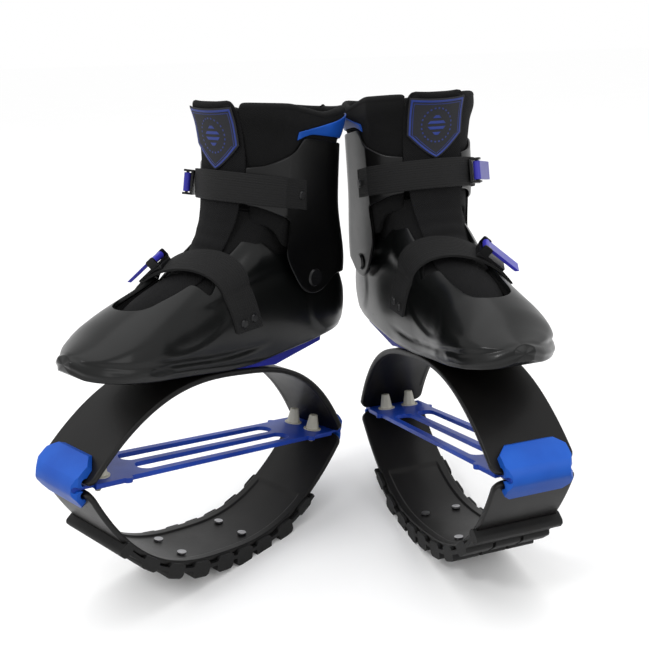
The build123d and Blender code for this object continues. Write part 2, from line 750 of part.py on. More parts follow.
# Badge: a plain shield on the shin of the tongue
badge_foot = sole_height + collar_rise * badge_foot_share
badge_shoulder = badge_foot + badge_half_width * badge_taper_share
with BuildPart() as badge:
    add(tongue_form(fit_gap + badge_thickness, badge_thickness))
    with BuildSketch(Plane.YZ):
        with BuildLine():
            Polyline(
                (0, badge_foot), (badge_half_width, badge_shoulder), (badge_half_width, badge_foot + badge_height),
                (-badge_half_width, badge_foot + badge_height), (-badge_half_width, badge_shoulder), close=True,
            )
        make_face()
    extrude(amount=bow_reach, mode=Mode.INTERSECT)

# Ankle strap: from the medial arm of the cuff across the shin to the buckle
strap_rounds = [(rear, front + ankle_strap_front, half) for rear, front, half in ankle_rounds]
strap_low = sole_height + collar_rise * ankle_strap_low_share
strap_high = sole_height + collar_rise * ankle_strap_high_share
with BuildPart() as ankle_strap:
    add(ankle_form(ankle_level_shares, strap_rounds, -fit_gap - strap_thickness))
    add(ankle_form(ankle_level_shares, strap_rounds, -fit_gap), mode=Mode.SUBTRACT)
    with BuildSketch(Plane.XZ):
        with Locations(((ankle_strap_back + bow_reach) / 2, (strap_low + strap_high) / 2)):
            Rectangle(bow_reach - ankle_strap_back, strap_high - strap_low)
    extrude(amount=2 * bow_width, both=True, mode=Mode.INTERSECT)
    with BuildSketch(Plane.XZ):
        with Locations(cuff_rivet_place):
            Circle(rivet_radius + pin_gap)
    extrude(amount=bow_width, both=True, mode=Mode.SUBTRACT)

# Instep strap: hugs the shell on a slant, from low on the medial side to the lateral buckle
turn = radians(instep_strap_turn)
dip = radians(instep_strap_dip)
strap_plane = Plane(
    origin=instep_strap_place, x_dir=(-sin(turn), cos(turn), 0),
    z_dir=(cos(dip) * cos(turn), cos(dip) * sin(turn), -sin(dip)),
)
with BuildPart() as instep_strap:
    add(shell_form(-fit_gap - strap_thickness))
    add(shell_form(-fit_gap), mode=Mode.SUBTRACT)
    with BuildSketch(strap_plane):
        with BuildLine():
            Polyline(
                instep_strap_lateral, instep_strap_medial, (instep_strap_medial[0], overrun),
                (instep_strap_lateral[0], overrun), close=True,
            )
        make_face()
    extrude(amount=instep_strap_width / 2, both=True, mode=Mode.INTERSECT)
    with BuildSketch(Plane.XZ):
        with Locations(*shell_rivet_places):
            Circle(rivet_radius + pin_gap)
    extrude(amount=-bow_width, mode=Mode.SUBTRACT)


def edge_view(plane):
    """The plane's own view from the side: its x stays, and its height is the plane's normal."""
    return Plane(origin=plane.origin, x_dir=plane.x_dir, z_dir=plane.z_dir.cross(plane.x_dir) * -1)


def buckle(plane):
    """A buckle frame on a plane: a plate with two ears and a pin between them."""
    pin_place = (buckle_length - buckle_ear_height) / 2
    ear_offset = (buckle_width - buckle_ear) / 2
    with BuildPart() as frame:
        with BuildSketch(plane):
            RectangleRounded(buckle_length, buckle_width, buckle_plate)
        extrude(amount=buckle_plate)
        for side in (1, -1):
            with BuildSketch(edge_view(plane).offset(side * ear_offset)):
                with Locations((pin_place, buckle_ear_height / 2)):
                    RectangleRounded(buckle_ear_height, buckle_ear_height, buckle_plate)
            extrude(amount=buckle_ear / 2, both=True)
        with BuildSketch(edge_view(plane)):
            with Locations((pin_place, lever_rise)):
                Circle(buckle_pin_radius)
        extrude(amount=ear_offset, both=True)
    return frame.part


def lever(plane):
    """A closing lever on the buckle's pin: an eye and a flat arm with a turned-up end."""
    pin_place = (buckle_length - buckle_ear_height) / 2
    tip_place = pin_place - lever_length
    with BuildPart() as arm:
        with BuildSketch(edge_view(plane)):
            with BuildLine():
                Polyline(
                    (pin_place, lever_rise + lever_thickness), (pin_place, lever_rise),
                    (tip_place, lever_rise), (tip_place - lever_thickness, lever_rise + lever_thickness),
                    (tip_place, lever_rise + lever_thickness), close=True,
                )
            make_face()
            with Locations((pin_place, lever_rise)):
                Circle(lever_eye_radius)
                Circle(buckle_pin_radius + fit_gap, mode=Mode.SUBTRACT)
        extrude(amount=lever_width / 2, both=True)
    return arm.part


ankle_angle = radians(ankle_buckle_angle)
ankle_half = ankle_rounds[2][2]
ankle_front = ankle_rounds[2][1] + ankle_strap_front
ankle_bow = ankle_half * (1 + ring_front_share ** 2) / (2 * ring_front_share)
ankle_stand = ankle_bow + 2 * fit_gap + strap_thickness + buckle_stand
ankle_plane = Plane(
    origin=(
        ankle_front - ankle_bow + ankle_stand * cos(ankle_angle), -ankle_stand * sin(ankle_angle),
        (strap_low + strap_high) / 2,
    ),
    x_dir=(sin(ankle_angle), cos(ankle_angle), 0), z_dir=(cos(ankle_angle), -sin(ankle_angle), 0),
)
tilt = radians(instep_buckle_tilt)
instep_plane = Plane(
    origin=strap_plane.from_local_coords(instep_buckle_place),
    x_dir=strap_plane.x_dir * cos(tilt) + strap_plane.y_dir * sin(tilt),
    z_dir=strap_plane.y_dir * cos(tilt) - strap_plane.x_dir * sin(tilt),
)
instep_plane = instep_plane.offset(buckle_stand)
ankle_buckle = buckle(ankle_plane)
ankle_lever = lever(ankle_plane)
instep_buckle = buckle(instep_plane)
instep_lever = lever(instep_plane)

# Ankle pivots: a pin, a boss between shell and cuff, and a head on each side
with BuildPart() as ankle_pivots:
    with BuildSketch(Plane.XZ.offset(-pivot_inner_face)):
        with Locations((pivot_place, pivot_height)):
            Circle(pivot_radius)
    extrude(amount=-(pivot_outer_face - pivot_inner_face))
    with BuildSketch(Plane.XZ.offset(-pivot_boss_face)):
        with Locations((pivot_place, pivot_height)):
            Circle(pivot_boss_radius)
    extrude(amount=-(pivot_cuff_face - pivot_boss_face))
    with BuildSketch(Plane.XZ.offset(-pivot_outer_face)):
        with Locations((pivot_place, pivot_height)):
            Circle(pivot_head_radius)
    extrude(amount=-pivot_head, taper=30)
    with BuildSketch(Plane.XZ.offset(-pivot_inner_face)):
        with Locations((pivot_place, pivot_height)):
            Circle(pivot_boss_radius)
    extrude(amount=-pivot_head / 2)
    mirror(about=Plane.XZ)

# Rivets at the ends of the ankle strap, one on each side
with BuildPart() as cuff_rivets:
    with BuildSketch(Plane.XZ.offset(-cuff_rivet_inner)):
        with Locations(cuff_rivet_place):
            Circle(rivet_radius)
    extrude(amount=-(cuff_rivet_outer - cuff_rivet_inner))
    with BuildSketch(Plane.XZ.offset(-cuff_rivet_outer)):
        with Locations(cuff_rivet_place):
            Circle(rivet_head_radius)
    extrude(amount=-rivet_head, taper=30)
    mirror(about=Plane.XZ)

# Rivets at the medial end of the instep strap
with BuildPart() as shell_rivets:
    for rivet_place in shell_rivet_places:
        with BuildSketch(Plane.XZ.offset(-shell_rivet_inner)):
            with Locations(rivet_place):
                Circle(rivet_radius)
        extrude(amount=-(shell_rivet_outer - shell_rivet_inner))
        with BuildSketch(Plane.XZ.offset(-shell_rivet_outer)):
            with Locations(rivet_place):
                Circle(rivet_head_radius)
        extrude(amount=-rivet_head, taper=30)

# The pair: every piece stands in the right boot's frame, and mirrored in the left boot's
right_pieces = {
    "shell": shell.part,
    "footbed": footbed.part,
    "liner_foot": liner_foot.part,
    "heel_wedge": heel_wedge.part,
    "mount_bolts": mount_bolts.part,
    "upper_bow": upper_bow_part.part,
    "instep_strap": instep_strap.part,
    "instep_buckle": instep_buckle,
    "shell_rivets": shell_rivets.part,
    "cuff": cuff.part,
    "liner_collar": liner_collar.part,
    "collar_trim": collar_trim.part,
    "tongue": tongue.part,
    "badge": badge.part,
    "ankle_strap": ankle_strap.part,
    "ankle_buckle": ankle_buckle,
    "cuff_rivets": cuff_rivets.part,
    "ankle_pivots": ankle_pivots.part,
    "ankle_lever": ankle_lever,
    "instep_lever": instep_lever,
    "t_spring": spring.part,
    "rear_cap": rear_cap.part,
    "rear_pegs": rear_pegs.part,
    "front_cap": front_cap.part,
    "front_pegs": front_pegs.part,
    "lower_bow": lower_bow_part.part,
    "tread": tread.part,
    "tread_screws": tread_screws.part,
}


def stand(place, heading):
    """The plane of a boot that stands at a place with its toe at a heading, leaning back."""
    lean = radians(lean_angle)
    toe = radians(heading)
    return Plane(
        origin=(*place, stand_height),
        x_dir=(cos(lean) * cos(toe), cos(lean) * sin(toe), sin(lean)),
        z_dir=(-sin(lean) * cos(toe), -sin(lean) * sin(toe), cos(lean)),
    )


os.makedirs("parts", exist_ok=True)
right_plane = stand(right_stand, -90 - turn_out_angle)
left_plane = stand(left_stand, -90 + turn_out_angle)
for name, piece in right_pieces.items():
    right_piece = right_plane.location * piece
    right_piece.label = "right_" + name
    export_step(right_piece, "parts/right_" + name + ".step")
    left_piece = left_plane.location * mirror(piece, about=Plane.XZ)
    left_piece.label = "left_" + name
    export_step(left_piece, "parts/left_" + name + ".step")
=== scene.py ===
"""Looks of the pair of rebound boots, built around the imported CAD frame.

Lengths are in millimetres until a mesh is made, in the right boot's own frame: x towards the toe, y towards
the other foot, z up. The left boot is the same with y turned round.
"""

import math

import bmesh
import bpy
import numpy as np
from mathutils import Matrix, Vector


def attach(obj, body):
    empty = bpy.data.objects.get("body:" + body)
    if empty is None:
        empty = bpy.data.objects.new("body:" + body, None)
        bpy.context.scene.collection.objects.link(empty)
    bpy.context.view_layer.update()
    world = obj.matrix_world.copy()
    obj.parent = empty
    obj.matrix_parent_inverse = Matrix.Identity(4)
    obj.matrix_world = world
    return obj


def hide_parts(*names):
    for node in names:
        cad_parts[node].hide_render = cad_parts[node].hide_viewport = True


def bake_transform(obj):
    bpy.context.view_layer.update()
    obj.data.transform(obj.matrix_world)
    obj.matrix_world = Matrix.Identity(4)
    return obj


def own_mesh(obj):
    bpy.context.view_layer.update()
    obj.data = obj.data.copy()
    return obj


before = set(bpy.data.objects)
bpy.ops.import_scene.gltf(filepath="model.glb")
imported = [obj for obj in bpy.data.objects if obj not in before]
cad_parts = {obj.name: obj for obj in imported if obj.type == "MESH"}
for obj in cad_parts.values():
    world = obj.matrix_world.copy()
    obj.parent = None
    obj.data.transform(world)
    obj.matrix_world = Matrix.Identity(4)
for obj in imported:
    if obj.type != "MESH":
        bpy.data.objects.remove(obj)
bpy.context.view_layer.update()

# Driving sizes, as in the CAD source
lean_angle = 12.6
turn_out_angle = 29.6
stand_height = 5.4
stands = {"right": (-129.5, -59.9), "left": (129.5, 5.9)}
fit_gap = 0.3
bow_reach = 165
bow_width = 78
bow_thickness = 5.5
bow_corner = 9
upper_crown = 202.6
upper_drop = 83.9
upper_power = 2.8
lower_crown = 12
lower_rise = 96.5
lower_power = 2.7
tray_reach = 111
tray_rim = 9
tray_depth = 1.8
slot_reach = 98
sole_height = upper_crown + fit_gap
boot_toe = 176
boot_heel = -156
heel_lift = 34
ball_half_width = 50
throat_rise = 147
hinge_height = 113.6
shell_wall = 3.6
welt_share = 0.93
shoulder_share = 0.9
collar_rise = 262
vamp_reach = 122
vamp_half_width = 23
throat_half_width = 30
throat_place = 20
vamp_floor = 7.6
liner_wall = 5
liner_floor = 5.2
cuff_wall = 3
collar_wall = 9
ring_rear_share = 0.9
ring_front_share = 0.7
cuff_mouth = 31
collar_mouth = 30.3
gusset_mouth = 15
gusset_wall = 3
strap_thickness = 2
strap_low = sole_height + 0.594 * collar_rise
strap_high = sole_height + 0.7 * collar_rise
ankle_strap_back = -42
ankle_strap_front = 3.5
instep_strap_width = 28
instep_strap_turn = 27
instep_strap_dip = 20
instep_strap_place = (49, 2, 292)
instep_strap_radius = 50
instep_strap_centre = 35
tongue_pad = 8
tongue_crown = 5.5
badge_half_width = 28
badge_height = 54
badge_foot = sole_height + 0.665 * collar_rise + 9.5
badge_taper = 22.4
badge_thickness = 1.6
badge_ring_height = 31
badge_ring_bars = 24
badge_band_reach = 10.5
badge_band_pitch = 5

# How finely each surface is divided
shell_loop_count = 420
shell_columns = 172
liner_loop_count = 320
liner_columns = 110
band_steps = 241
trim_steps = 161
tongue_steps = 180
strap_steps = 181
bow_steps = 200
bow_columns = 90

# heel to toe: place, then bottom, medial side, lateral side, shoulder and top
shell_rows = np.array([
    (0.0, 1.2, 0.24, -0.24, 0.38, 0.43),
    (0.015, 1.05, 0.5, -0.5, 0.46, 0.55),
    (0.042, 1.0, 0.68, -0.68, 0.54, 0.65),
    (0.108, 0.86, 0.84, -0.84, 0.64, 0.86),
    (0.214, 0.62, 0.92, -0.92, 0.687, 0.986),
    (0.334, 0.36, 0.94, -0.92, 0.66, 1.0),
    (0.455, 0.09, 0.92, -0.9, 0.592, 0.966),
    (0.575, 0.0, 0.92, -0.92, 0.469, 0.755),
    (0.696, 0.0, 0.96, -0.98, 0.333, 0.558),
    (0.801, 0.0, 1.02, -1.0, 0.252, 0.422),
    (0.877, 0.01, 0.98, -0.88, 0.197, 0.32),
    (0.937, 0.04, 0.84, -0.58, 0.15, 0.224),
    (0.976, 0.08, 0.62, -0.28, 0.125, 0.17),
    (1.0, 0.2, 0.36, 0.0, 0.12, 0.142),
])
# the shell's rim in the side view, from the rear forwards: place and height
rim_line = np.array([
    (-198, 317.1), (-59.4, 317.1), (-23.9, 314.3), (9.9, 335.2), (33, 302.5), (51.15, 272.6), (61.05, 282),
])
# levels of the ankle: height, rear, front, half width
ankle_rows = np.array([
    (271, -150, 10, 52), (305.1, -148, 10, 52.5), (370.6, -126, 22, 56), (433.5, -117, 26, 57),
])
collar_rows = np.array([
    (320.8, -138, 14, 47.5), (352.2, -127.5, 13, 50), (391.5, -117, 18, 52), (423, -113, 30, 53),
    (438.7, -117, 38, 57), (464.9, -121, 43, 58),
])
# edges of the bands: share of the way back, then place and height on the lower and on the upper edge
cuff_edges = np.array([
    (0, 26.4, 358, 26.4, 387.9), (0.14, 4, 356.4, 4, 395), (0.27, -28, 347, -21.9, 410.7),
    (0.33, -29, 330, -27, 418), (0.4, -27, 313, -32, 424.6), (0.5, -54.5, 281.5, -55, 425.4),
    (0.57, -71.9, 275.2, -72, 426), (0.64, -90.8, 281.5, -88, 426.4), (0.7, -102.3, 297.2, -100, 427),
    (1, -181, 300.4, -181, 429.8),
])
# the textile between shell, tongue and collar
gusset_rows = np.array([
    (255, -136, 88, 36), (276, -134, 68, 36.8), (291, -132, 46, 37.2), (318, -127, 27, 37.6),
    (352, -116, 13, 37.8),
])
gusset_edges = np.array([(0, 120, 260, 120, 350), (0.4, -30, 268, -20, 351), (1, -181, 296, -181, 351)])
collar_edges = np.array([
    (0, 49.5, 340.5, 49.5, 442.6), (0.25, -9.9, 340.5, -9.9, 450.5), (0.33, -28, 321.3, -28, 450),
    (0.48, -59.4, 321.3, -59.4, 449.2), (0.68, -100, 321.3, -100, 462), (1, -181, 321.3, -181, 464.9),
])
trim_edges = np.array([
    (0, -23, 420.4, -23, 428.2), (0.15, -40, 428.9, -40, 434), (0.5, -85, 430.8, -80, 448),
    (0.7, -110, 431.6, -105.6, 458.3), (1, -181, 432.4, -181, 461),
])
# the tongue's front face from the toe up to the shin: place, height, half width
tongue_rows = np.array([
    (119, 247.5, 14), (110, 256, 16.5), (99, 264.5, 18.6), (79.2, 275.7, 21.6), (52.8, 291.5, 21.9),
    (33, 315.6, 21.9), (22.3, 349.6, 26.1), (21.5, 386.3, 30), (30.5, 423, 30), (42.9, 445.2, 29.1),
])
# stretches along the boot: first place, last place and the step between cross sections
boot_stretches = (
    (boot_heel, -140, 1.2), (-140, 96, 2), (96, 112, 1.2), (112, 124, 0.5), (124, 160, 1.6),
    (160, boot_toe, 0.9),
)
# a place on the boot and one on the cuff for the collar and for the tongue, which nothing bends by
collar_bend = ((-60, 0, 300), (-50, 0, 352))
tongue_bend = ((82, 0, 276), (24, 0, 356))

# Relief of the shell: heights, places and depths, and the two values between which each form fades
welt_fade = (3, 7)
level_fade = 0.9
bumper_height = 14
bumper_heel_lift = 5
bumper_lift_fade = (-60, 30)
bumper_fade = (-30, 10)
bumper_edge = 2.6
bumper_relief = 1.5
groove_depth = 1.5
groove_width = 2.8
# recesses in the bumper: place, level, half length, half height and depth
bumper_recesses = ((150, 11, 22, 6, 2), (108, 9, 13, 5.5, 1.3))
recess_fade = (0.3, 1.2)
panel_centre = (68, 247)
panel_half_sizes = (44, 18)
panel_tilt_angle = -20
panel_depth = 1.1
panel_fade = (0.72, 1.06)
counter_centre = (-118, 268)
counter_half_sizes = (46, 34)
counter_relief = 1.2
counter_fade = (0.8, 1.04)
heel_bulge = 1.6
toe_bulge = 1.2

# Cuts on the looks of the end caps, written for the front cap
cap_half_width = 31
cap_nose_cut = 174.6
cap_slope_cut = 174.1
cap_slope_height = 4.7
cap_slope_way = (0.93, 0.37)
# the corners: place and height, direction along and up, and depth
cap_corners = (
    ((156.5, 138.3), (-0.674, 0.738), 5.6), ((161.7, 94.4), (-0.671, -0.743), 4.2),
    ((177.6, hinge_height), (1, 0), 5),
)

# Pad under the instep buckle
pad_middle = (63.25, -28.0, 289.45)
pad_along = (-0.097, 0.73, 0.677)
pad_across = (-0.837, -0.428, 0.339)
pad_half_length = 14.5
pad_half_width = 11
pad_thickness = 1.5
pad_curve = 44

# Details of the bows: edges, the overlap of the upper bow's halves, the lip inside and the tray's turn
bow_edge = 1.4
bow_end = 2.5
bow_overlap = 0.04
bow_nest_share = 0.04
bow_nest_fade = (-8.5, -6)
lip_place = 4.5
lip_width = 1.5
lip_height = 0.5
lip_end = 24
tray_edge_outside = 0.6
tray_edge_inside = 0.9
tray_end_edge = 1


def tone(red, green, blue):
    """A colour written in 0 to 255 as the linear colour that the shaders work in."""
    return tuple(
        ((c / 255 + 0.055) / 1.055) ** 2.4 if c > 10 else c / 255 / 12.92 for c in (red, green, blue)
    ) + (1,)


def stand_axes(side):
    """Origin and the three axes of a boot's frame as it stands."""
    lean = math.radians(lean_angle)
    toe = math.radians(-90 - turn_out_angle if side == "right" else -90 + turn_out_angle)
    x = np.array((math.cos(lean) * math.cos(toe), math.cos(lean) * math.sin(toe), math.sin(lean)))
    z = np.array((-math.sin(lean) * math.cos(toe), -math.sin(lean) * math.sin(toe), math.cos(lean)))
    y = np.cross(z, x) * (1 if side == "right" else -1)
    return np.array((*stands[side], stand_height)), x, y, z


def placed(side, points):
    """Points of the right boot's frame, as they stand in the row frame, in metres."""
    points = np.asarray(points, float)
    origin, x, y, z = stand_axes(side)
    return (origin + points[..., :1] * x + points[..., 1:2] * y + points[..., 2:3] * z) / 1000


def curve(at, knots, values):
    """A smooth curve through the values at the knots: cubic pieces whose slopes never overshoot."""
    knots, values, at = np.asarray(knots, float), np.asarray(values, float), np.asarray(at, float)
    step = np.diff(knots)
    slope = np.diff(values) / step
    both = slope[:-1] * slope[1:]
    total = np.where(np.abs(slope[:-1] + slope[1:]) < 1e-12, 1, slope[:-1] + slope[1:])
    inner = np.where(both > 0, 2 * both / total, 0)
    tangent = np.concatenate([slope[:1], inner, slope[-1:]])
    index = np.clip(np.searchsorted(knots, at, side="right") - 1, 0, len(step) - 1)
    t = np.clip((at - knots[index]) / step[index], 0, 1)
    return (
        values[index] * (1 + 2 * t) * (1 - t) ** 2 + tangent[index] * step[index] * t * (1 - t) ** 2
        + values[index + 1] * t * t * (3 - 2 * t) + tangent[index + 1] * step[index] * t * t * (t - 1)
    )


def soft_step(value, low, high):
    """0 below low, 1 above high and a smooth turn between them."""
    t = np.clip((value - low) / (high - low), 0, 1)
    return t * t * (3 - 2 * t)


def blurred(values, width, axis=0, around=False):
    """Values averaged with their neighbours by a bell of that width in samples."""
    reach = int(3 * width) + 1
    weights = np.exp(-0.5 * (np.arange(-reach, reach + 1) / width) ** 2)
    weights /= weights.sum()
    if around:
        return sum(w * np.roll(values, k, axis) for w, k in zip(weights, range(-reach, reach + 1)))
    pad = [(0, 0)] * values.ndim
    pad[axis] = (reach, reach)
    wide = np.pad(values, pad, mode="edge")
    count = values.shape[axis]
    return sum(w * np.take(wide, np.arange(k, k + count), axis) for k, w in enumerate(weights))


def rounded(count, power):
    """A closed round of unit points between an ellipse and a box: cosine and sine, each raised to a power."""
    turn = np.linspace(0, 2 * np.pi, count)
    across = np.sign(np.cos(turn)) * np.abs(np.cos(turn)) ** power
    up = np.sign(np.sin(turn)) * np.abs(np.sin(turn)) ** power
    return across, up


def normals_of(points):
    """Unit normals of a grid of points, from the cross product of its two directions."""
    normal = np.cross(np.gradient(points, axis=0), np.gradient(points, axis=1))
    return normal / np.maximum(np.linalg.norm(normal, axis=-1, keepdims=True), 1e-9)


def lengths_of(points):
    """Lengths run along the two directions of a grid, in millimetres, for weaves and stitches."""
    down = np.linalg.norm(np.diff(points, axis=0), axis=-1).mean(1)
    along = np.linalg.norm(np.diff(points, axis=1), axis=-1).mean(0)
    u = np.concatenate([[0], np.cumsum(down)])[:, None] + np.zeros(points.shape[:2])
    v = np.concatenate([[0], np.cumsum(along)])[None, :] + np.zeros(points.shape[:2])
    return np.stack([u, v], -1)


def finish_mesh(mesh, closed):
    """Welds seams and poles and turns every face outwards."""
    work = bmesh.new()
    work.from_mesh(mesh)
    bmesh.ops.remove_doubles(work, verts=work.verts, dist=2e-6)
    bmesh.ops.dissolve_degenerate(work, dist=1e-7, edges=work.edges)
    if closed:
        bmesh.ops.recalc_face_normals(work, faces=work.faces)
    work.to_mesh(mesh)
    work.free()
    if not closed:
        count = len(mesh.polygons)
        centre, normal, area = np.zeros(count * 3), np.zeros(count * 3), np.zeros(count)
        mesh.polygons.foreach_get("center", centre)
        mesh.polygons.foreach_get("normal", normal)
        mesh.polygons.foreach_get("area", area)
        centre, normal = centre.reshape(-1, 3), normal.reshape(-1, 3)
        middle = (centre * area[:, None]).sum(0) / area.sum()
        if (((centre - middle) * normal).sum(1) * area).sum() < 0:
            mesh.flip_normals()
    mesh.polygons.foreach_set("use_smooth", np.ones(len(mesh.polygons), bool))
    mesh.update()


def surface(name, side, points, uv=None, closed=True, marks=None):
    """An object from a grid of points. The last row or column repeats the first where the piece is closed."""
    rows, columns = points.shape[:2]
    i, j = np.arange(rows - 1)[:, None], np.arange(columns - 1)[None, :]
    corner = i * columns + j
    quads = np.stack([corner, corner + columns, corner + columns + 1, corner + 1], -1).reshape(-1, 4)
    mesh = bpy.data.meshes.new(name)
    mesh.vertices.add(rows * columns)
    mesh.vertices.foreach_set("co", placed(side, points).astype(np.float32).ravel())
    mesh.loops.add(quads.size)
    mesh.loops.foreach_set("vertex_index", quads.astype(np.int32).ravel())
    mesh.polygons.add(len(quads))
    mesh.polygons.foreach_set("loop_start", np.arange(0, quads.size, 4, dtype=np.int32))
    mesh.update(calc_edges=True)
    uv = lengths_of(points) if uv is None else uv
    layer = mesh.uv_layers.new(name="UVMap")
    layer.data.foreach_set("uv", uv.reshape(-1, 2)[quads.ravel()].astype(np.float32).ravel())
    for key, values in (marks or {}).items():
        mark = mesh.attributes.new(key, "FLOAT", "POINT")
        mark.data.foreach_set("value", values.astype(np.float32).ravel())
    finish_mesh(mesh, closed)
    made = bpy.data.objects.new(name, mesh)
    bpy.context.scene.collection.objects.link(made)
    return made


def thicken(piece, thickness, edge):
    """Gives a sheet its wall, inwards from its outer face, and rounds the rim."""
    wall = piece.modifiers.new("wall", "SOLIDIFY")
    wall.thickness = thickness / 1000
    wall.offset = -1
    rim = piece.modifiers.new("rim", "BEVEL")
    rim.width = edge / 1000
    rim.segments = 2
    rim.limit_method = "ANGLE"
    rim.angle_limit = math.radians(55)
    return piece


def from_cad(node, edge, angle=38, side=None, cuts=()):
    """A copy of a CAD node's mesh, merged and with its edges rounded. Each cut is a point and an outward
    direction in the boot's frame, and what lies beyond it is taken off."""
    made = bpy.data.objects.new(node + "_look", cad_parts[node].data.copy())
    bpy.context.scene.collection.objects.link(made)
    mesh = made.data
    work = bmesh.new()
    work.from_mesh(mesh)
    bmesh.ops.remove_doubles(work, verts=work.verts, dist=2e-6)
    bmesh.ops.dissolve_limit(work, angle_limit=math.radians(0.6), verts=work.verts, edges=work.edges)
    for point, way in cuts:
        bmesh.ops.bisect_plane(
            work, geom=work.verts[:] + work.edges[:] + work.faces[:], dist=1e-7, clear_outer=True,
            plane_co=Vector(placed(side, point)),
            plane_no=Vector(np.array(way) @ np.array(stand_axes(side)[1:])),
        )
        bmesh.ops.holes_fill(work, edges=[e for e in work.edges if e.is_boundary])
    bmesh.ops.recalc_face_normals(work, faces=work.faces)
    work.to_mesh(mesh)
    work.free()
    mesh.polygons.foreach_set("use_smooth", np.ones(len(mesh.polygons), bool))
    mesh.set_sharp_from_angle(angle=math.radians(angle))
    rim = made.modifiers.new("edge", "BEVEL")
    rim.width = edge / 1000
    rim.segments = 2
    rim.limit_method = "ANGLE"
    rim.angle_limit = math.radians(angle)
    rim.harden_normals = True
    return made


class Wire:
    """A shader output that can be added, multiplied and so on with numbers and other outputs."""

    def __init__(self, graph, socket):
        self.graph = graph
        self.socket = socket

    def __add__(self, other):
        return self.graph.math("ADD", self, other)

    def __mul__(self, other):
        return self.graph.math("MULTIPLY", self, other)

    def __sub__(self, other):
        return self.graph.math("SUBTRACT", self, other)

    def __rsub__(self, other):
        return self.graph.math("SUBTRACT", other, self)

    def __truediv__(self, other):
        return self.graph.math("DIVIDE", self, other)

    __radd__ = __add__
    __rmul__ = __mul__

    def wave(self):
        return self.graph.math("SINE", self)

    def size(self):
        return self.graph.math("ABSOLUTE", self)

    def most(self, other):
        return self.graph.math("MAXIMUM", self, other)

    def rest(self, length):
        return self.graph.math("FLOORED_MODULO", self, length)

    def step(self, low, high):
        return self.graph.node(
            "ShaderNodeMapRange", {"interpolation_type": "SMOOTHSTEP"},
            {"Value": self, "From Min": low, "From Max": high},
        )


class Graph:
    """One material: nodes are made by one method that takes type, settings and socket values or links."""

    def __init__(self, name):
        self.material = bpy.data.materials.new(name)
        self.material.use_nodes = True
        self.tree = self.material.node_tree
        self.tree.nodes.clear()
        self.shader = self.tree.nodes.new("ShaderNodeBsdfPrincipled")
        output = self.tree.nodes.new("ShaderNodeOutputMaterial")
        self.tree.links.new(self.shader.outputs[0], output.inputs[0])

    def node(self, kind, settings=None, inputs=None, output=0):
        made = self.tree.nodes.new(kind)
        for key, value in (settings or {}).items():
            setattr(made, key, value)
        for key, value in (inputs or {}).items():
            self.join(value, made.inputs[key])
        return Wire(self, made.outputs[output])

    def join(self, value, socket):
        if isinstance(value, Wire):
            self.tree.links.new(value.socket, socket)
        else:
            socket.default_value = value

    def math(self, operation, *values):
        return self.node("ShaderNodeMath", {"operation": operation}, dict(enumerate(values)))

    def mix(self, factor, first, second):
        return self.node("ShaderNodeMix", {"data_type": "RGBA"}, {0: factor, 6: first, 7: second}, output=2)

    def place(self):
        return self.node("ShaderNodeTexCoord", output=3)

    def lengths(self):
        uv_map = self.node("ShaderNodeUVMap", {"uv_map": "UVMap"})
        pair = self.node("ShaderNodeSeparateXYZ", inputs={0: uv_map})
        return pair, Wire(self, pair.socket.node.outputs[1])

    def noise(self, scale, detail=3, roughness=0.5):
        return self.node("ShaderNodeTexNoise", inputs={
            "Vector": self.place(), "Scale": scale, "Detail": detail, "Roughness": roughness,
        })

    def bump(self, height, distance, strength=1):
        return self.node("ShaderNodeBump", inputs={
            "Height": height, "Distance": distance, "Strength": strength,
        })

    def give(self, **values):
        for key, value in values.items():
            self.join(value, self.shader.inputs[key.replace("_", " ")])
        return self.material


def moulded(name, dark, light, roughness, coat, grain=0.00004):
    """Moulded plastic: cloudy tone, fine peel, faint smears in the gloss and rare scratches."""
    g = Graph(name)
    cloud = g.noise(14, 4)
    smear = g.noise(46, 6, 0.62)
    peel = g.noise(700, 2)
    scratch = g.noise(210, 1).step(0.7, 0.76)
    return g.give(
        Base_Color=g.mix(cloud.step(0.3, 0.7), dark, light),
        Roughness=(smear - 0.5) * 0.12 + roughness + scratch * 0.05,
        Coat_Weight=coat, Coat_Roughness=0.15, IOR=1.5, Specular_IOR_Level=0.22,
        Normal=g.bump(peel + cloud * 0.6, grain),
    )


def rubber(name, dark, light, roughness):
    """Rubber: fine grain, dust that lies in patches and a dull sheen."""
    g = Graph(name)
    dust = g.noise(38, 6, 0.66).step(0.5, 0.82)
    grain = g.noise(1500, 2)
    return g.give(
        Base_Color=g.mix(dust * 0.6, dark, light), Roughness=dust * 0.16 + roughness,
        Specular_IOR_Level=0.25,
        Normal=g.bump(grain + g.noise(160, 3) * 1.5, 0.00012),
    )


def knitted(name, dark, light, pitch):
    """Knitted textile: rows of stitches that lean in turns, with a soft nap over them."""
    g = Graph(name)
    u, v = g.lengths()
    turn = 2 * math.pi / pitch
    stitch = ((u * turn).wave() * (v * turn + (u * turn * 0.5).wave() * 0.7).wave()) * 0.5 + 0.5
    nap = g.noise(900, 3)
    worn = g.noise(26, 4).step(0.35, 0.75)
    return g.give(
        Base_Color=g.mix(stitch * 0.55 + worn * 0.25 + nap * 0.2, dark, light),
        Roughness=nap * 0.1 + 0.86, Specular_IOR_Level=0.2,
        Normal=g.bump(stitch + nap * 0.5, 0.00035),
    )


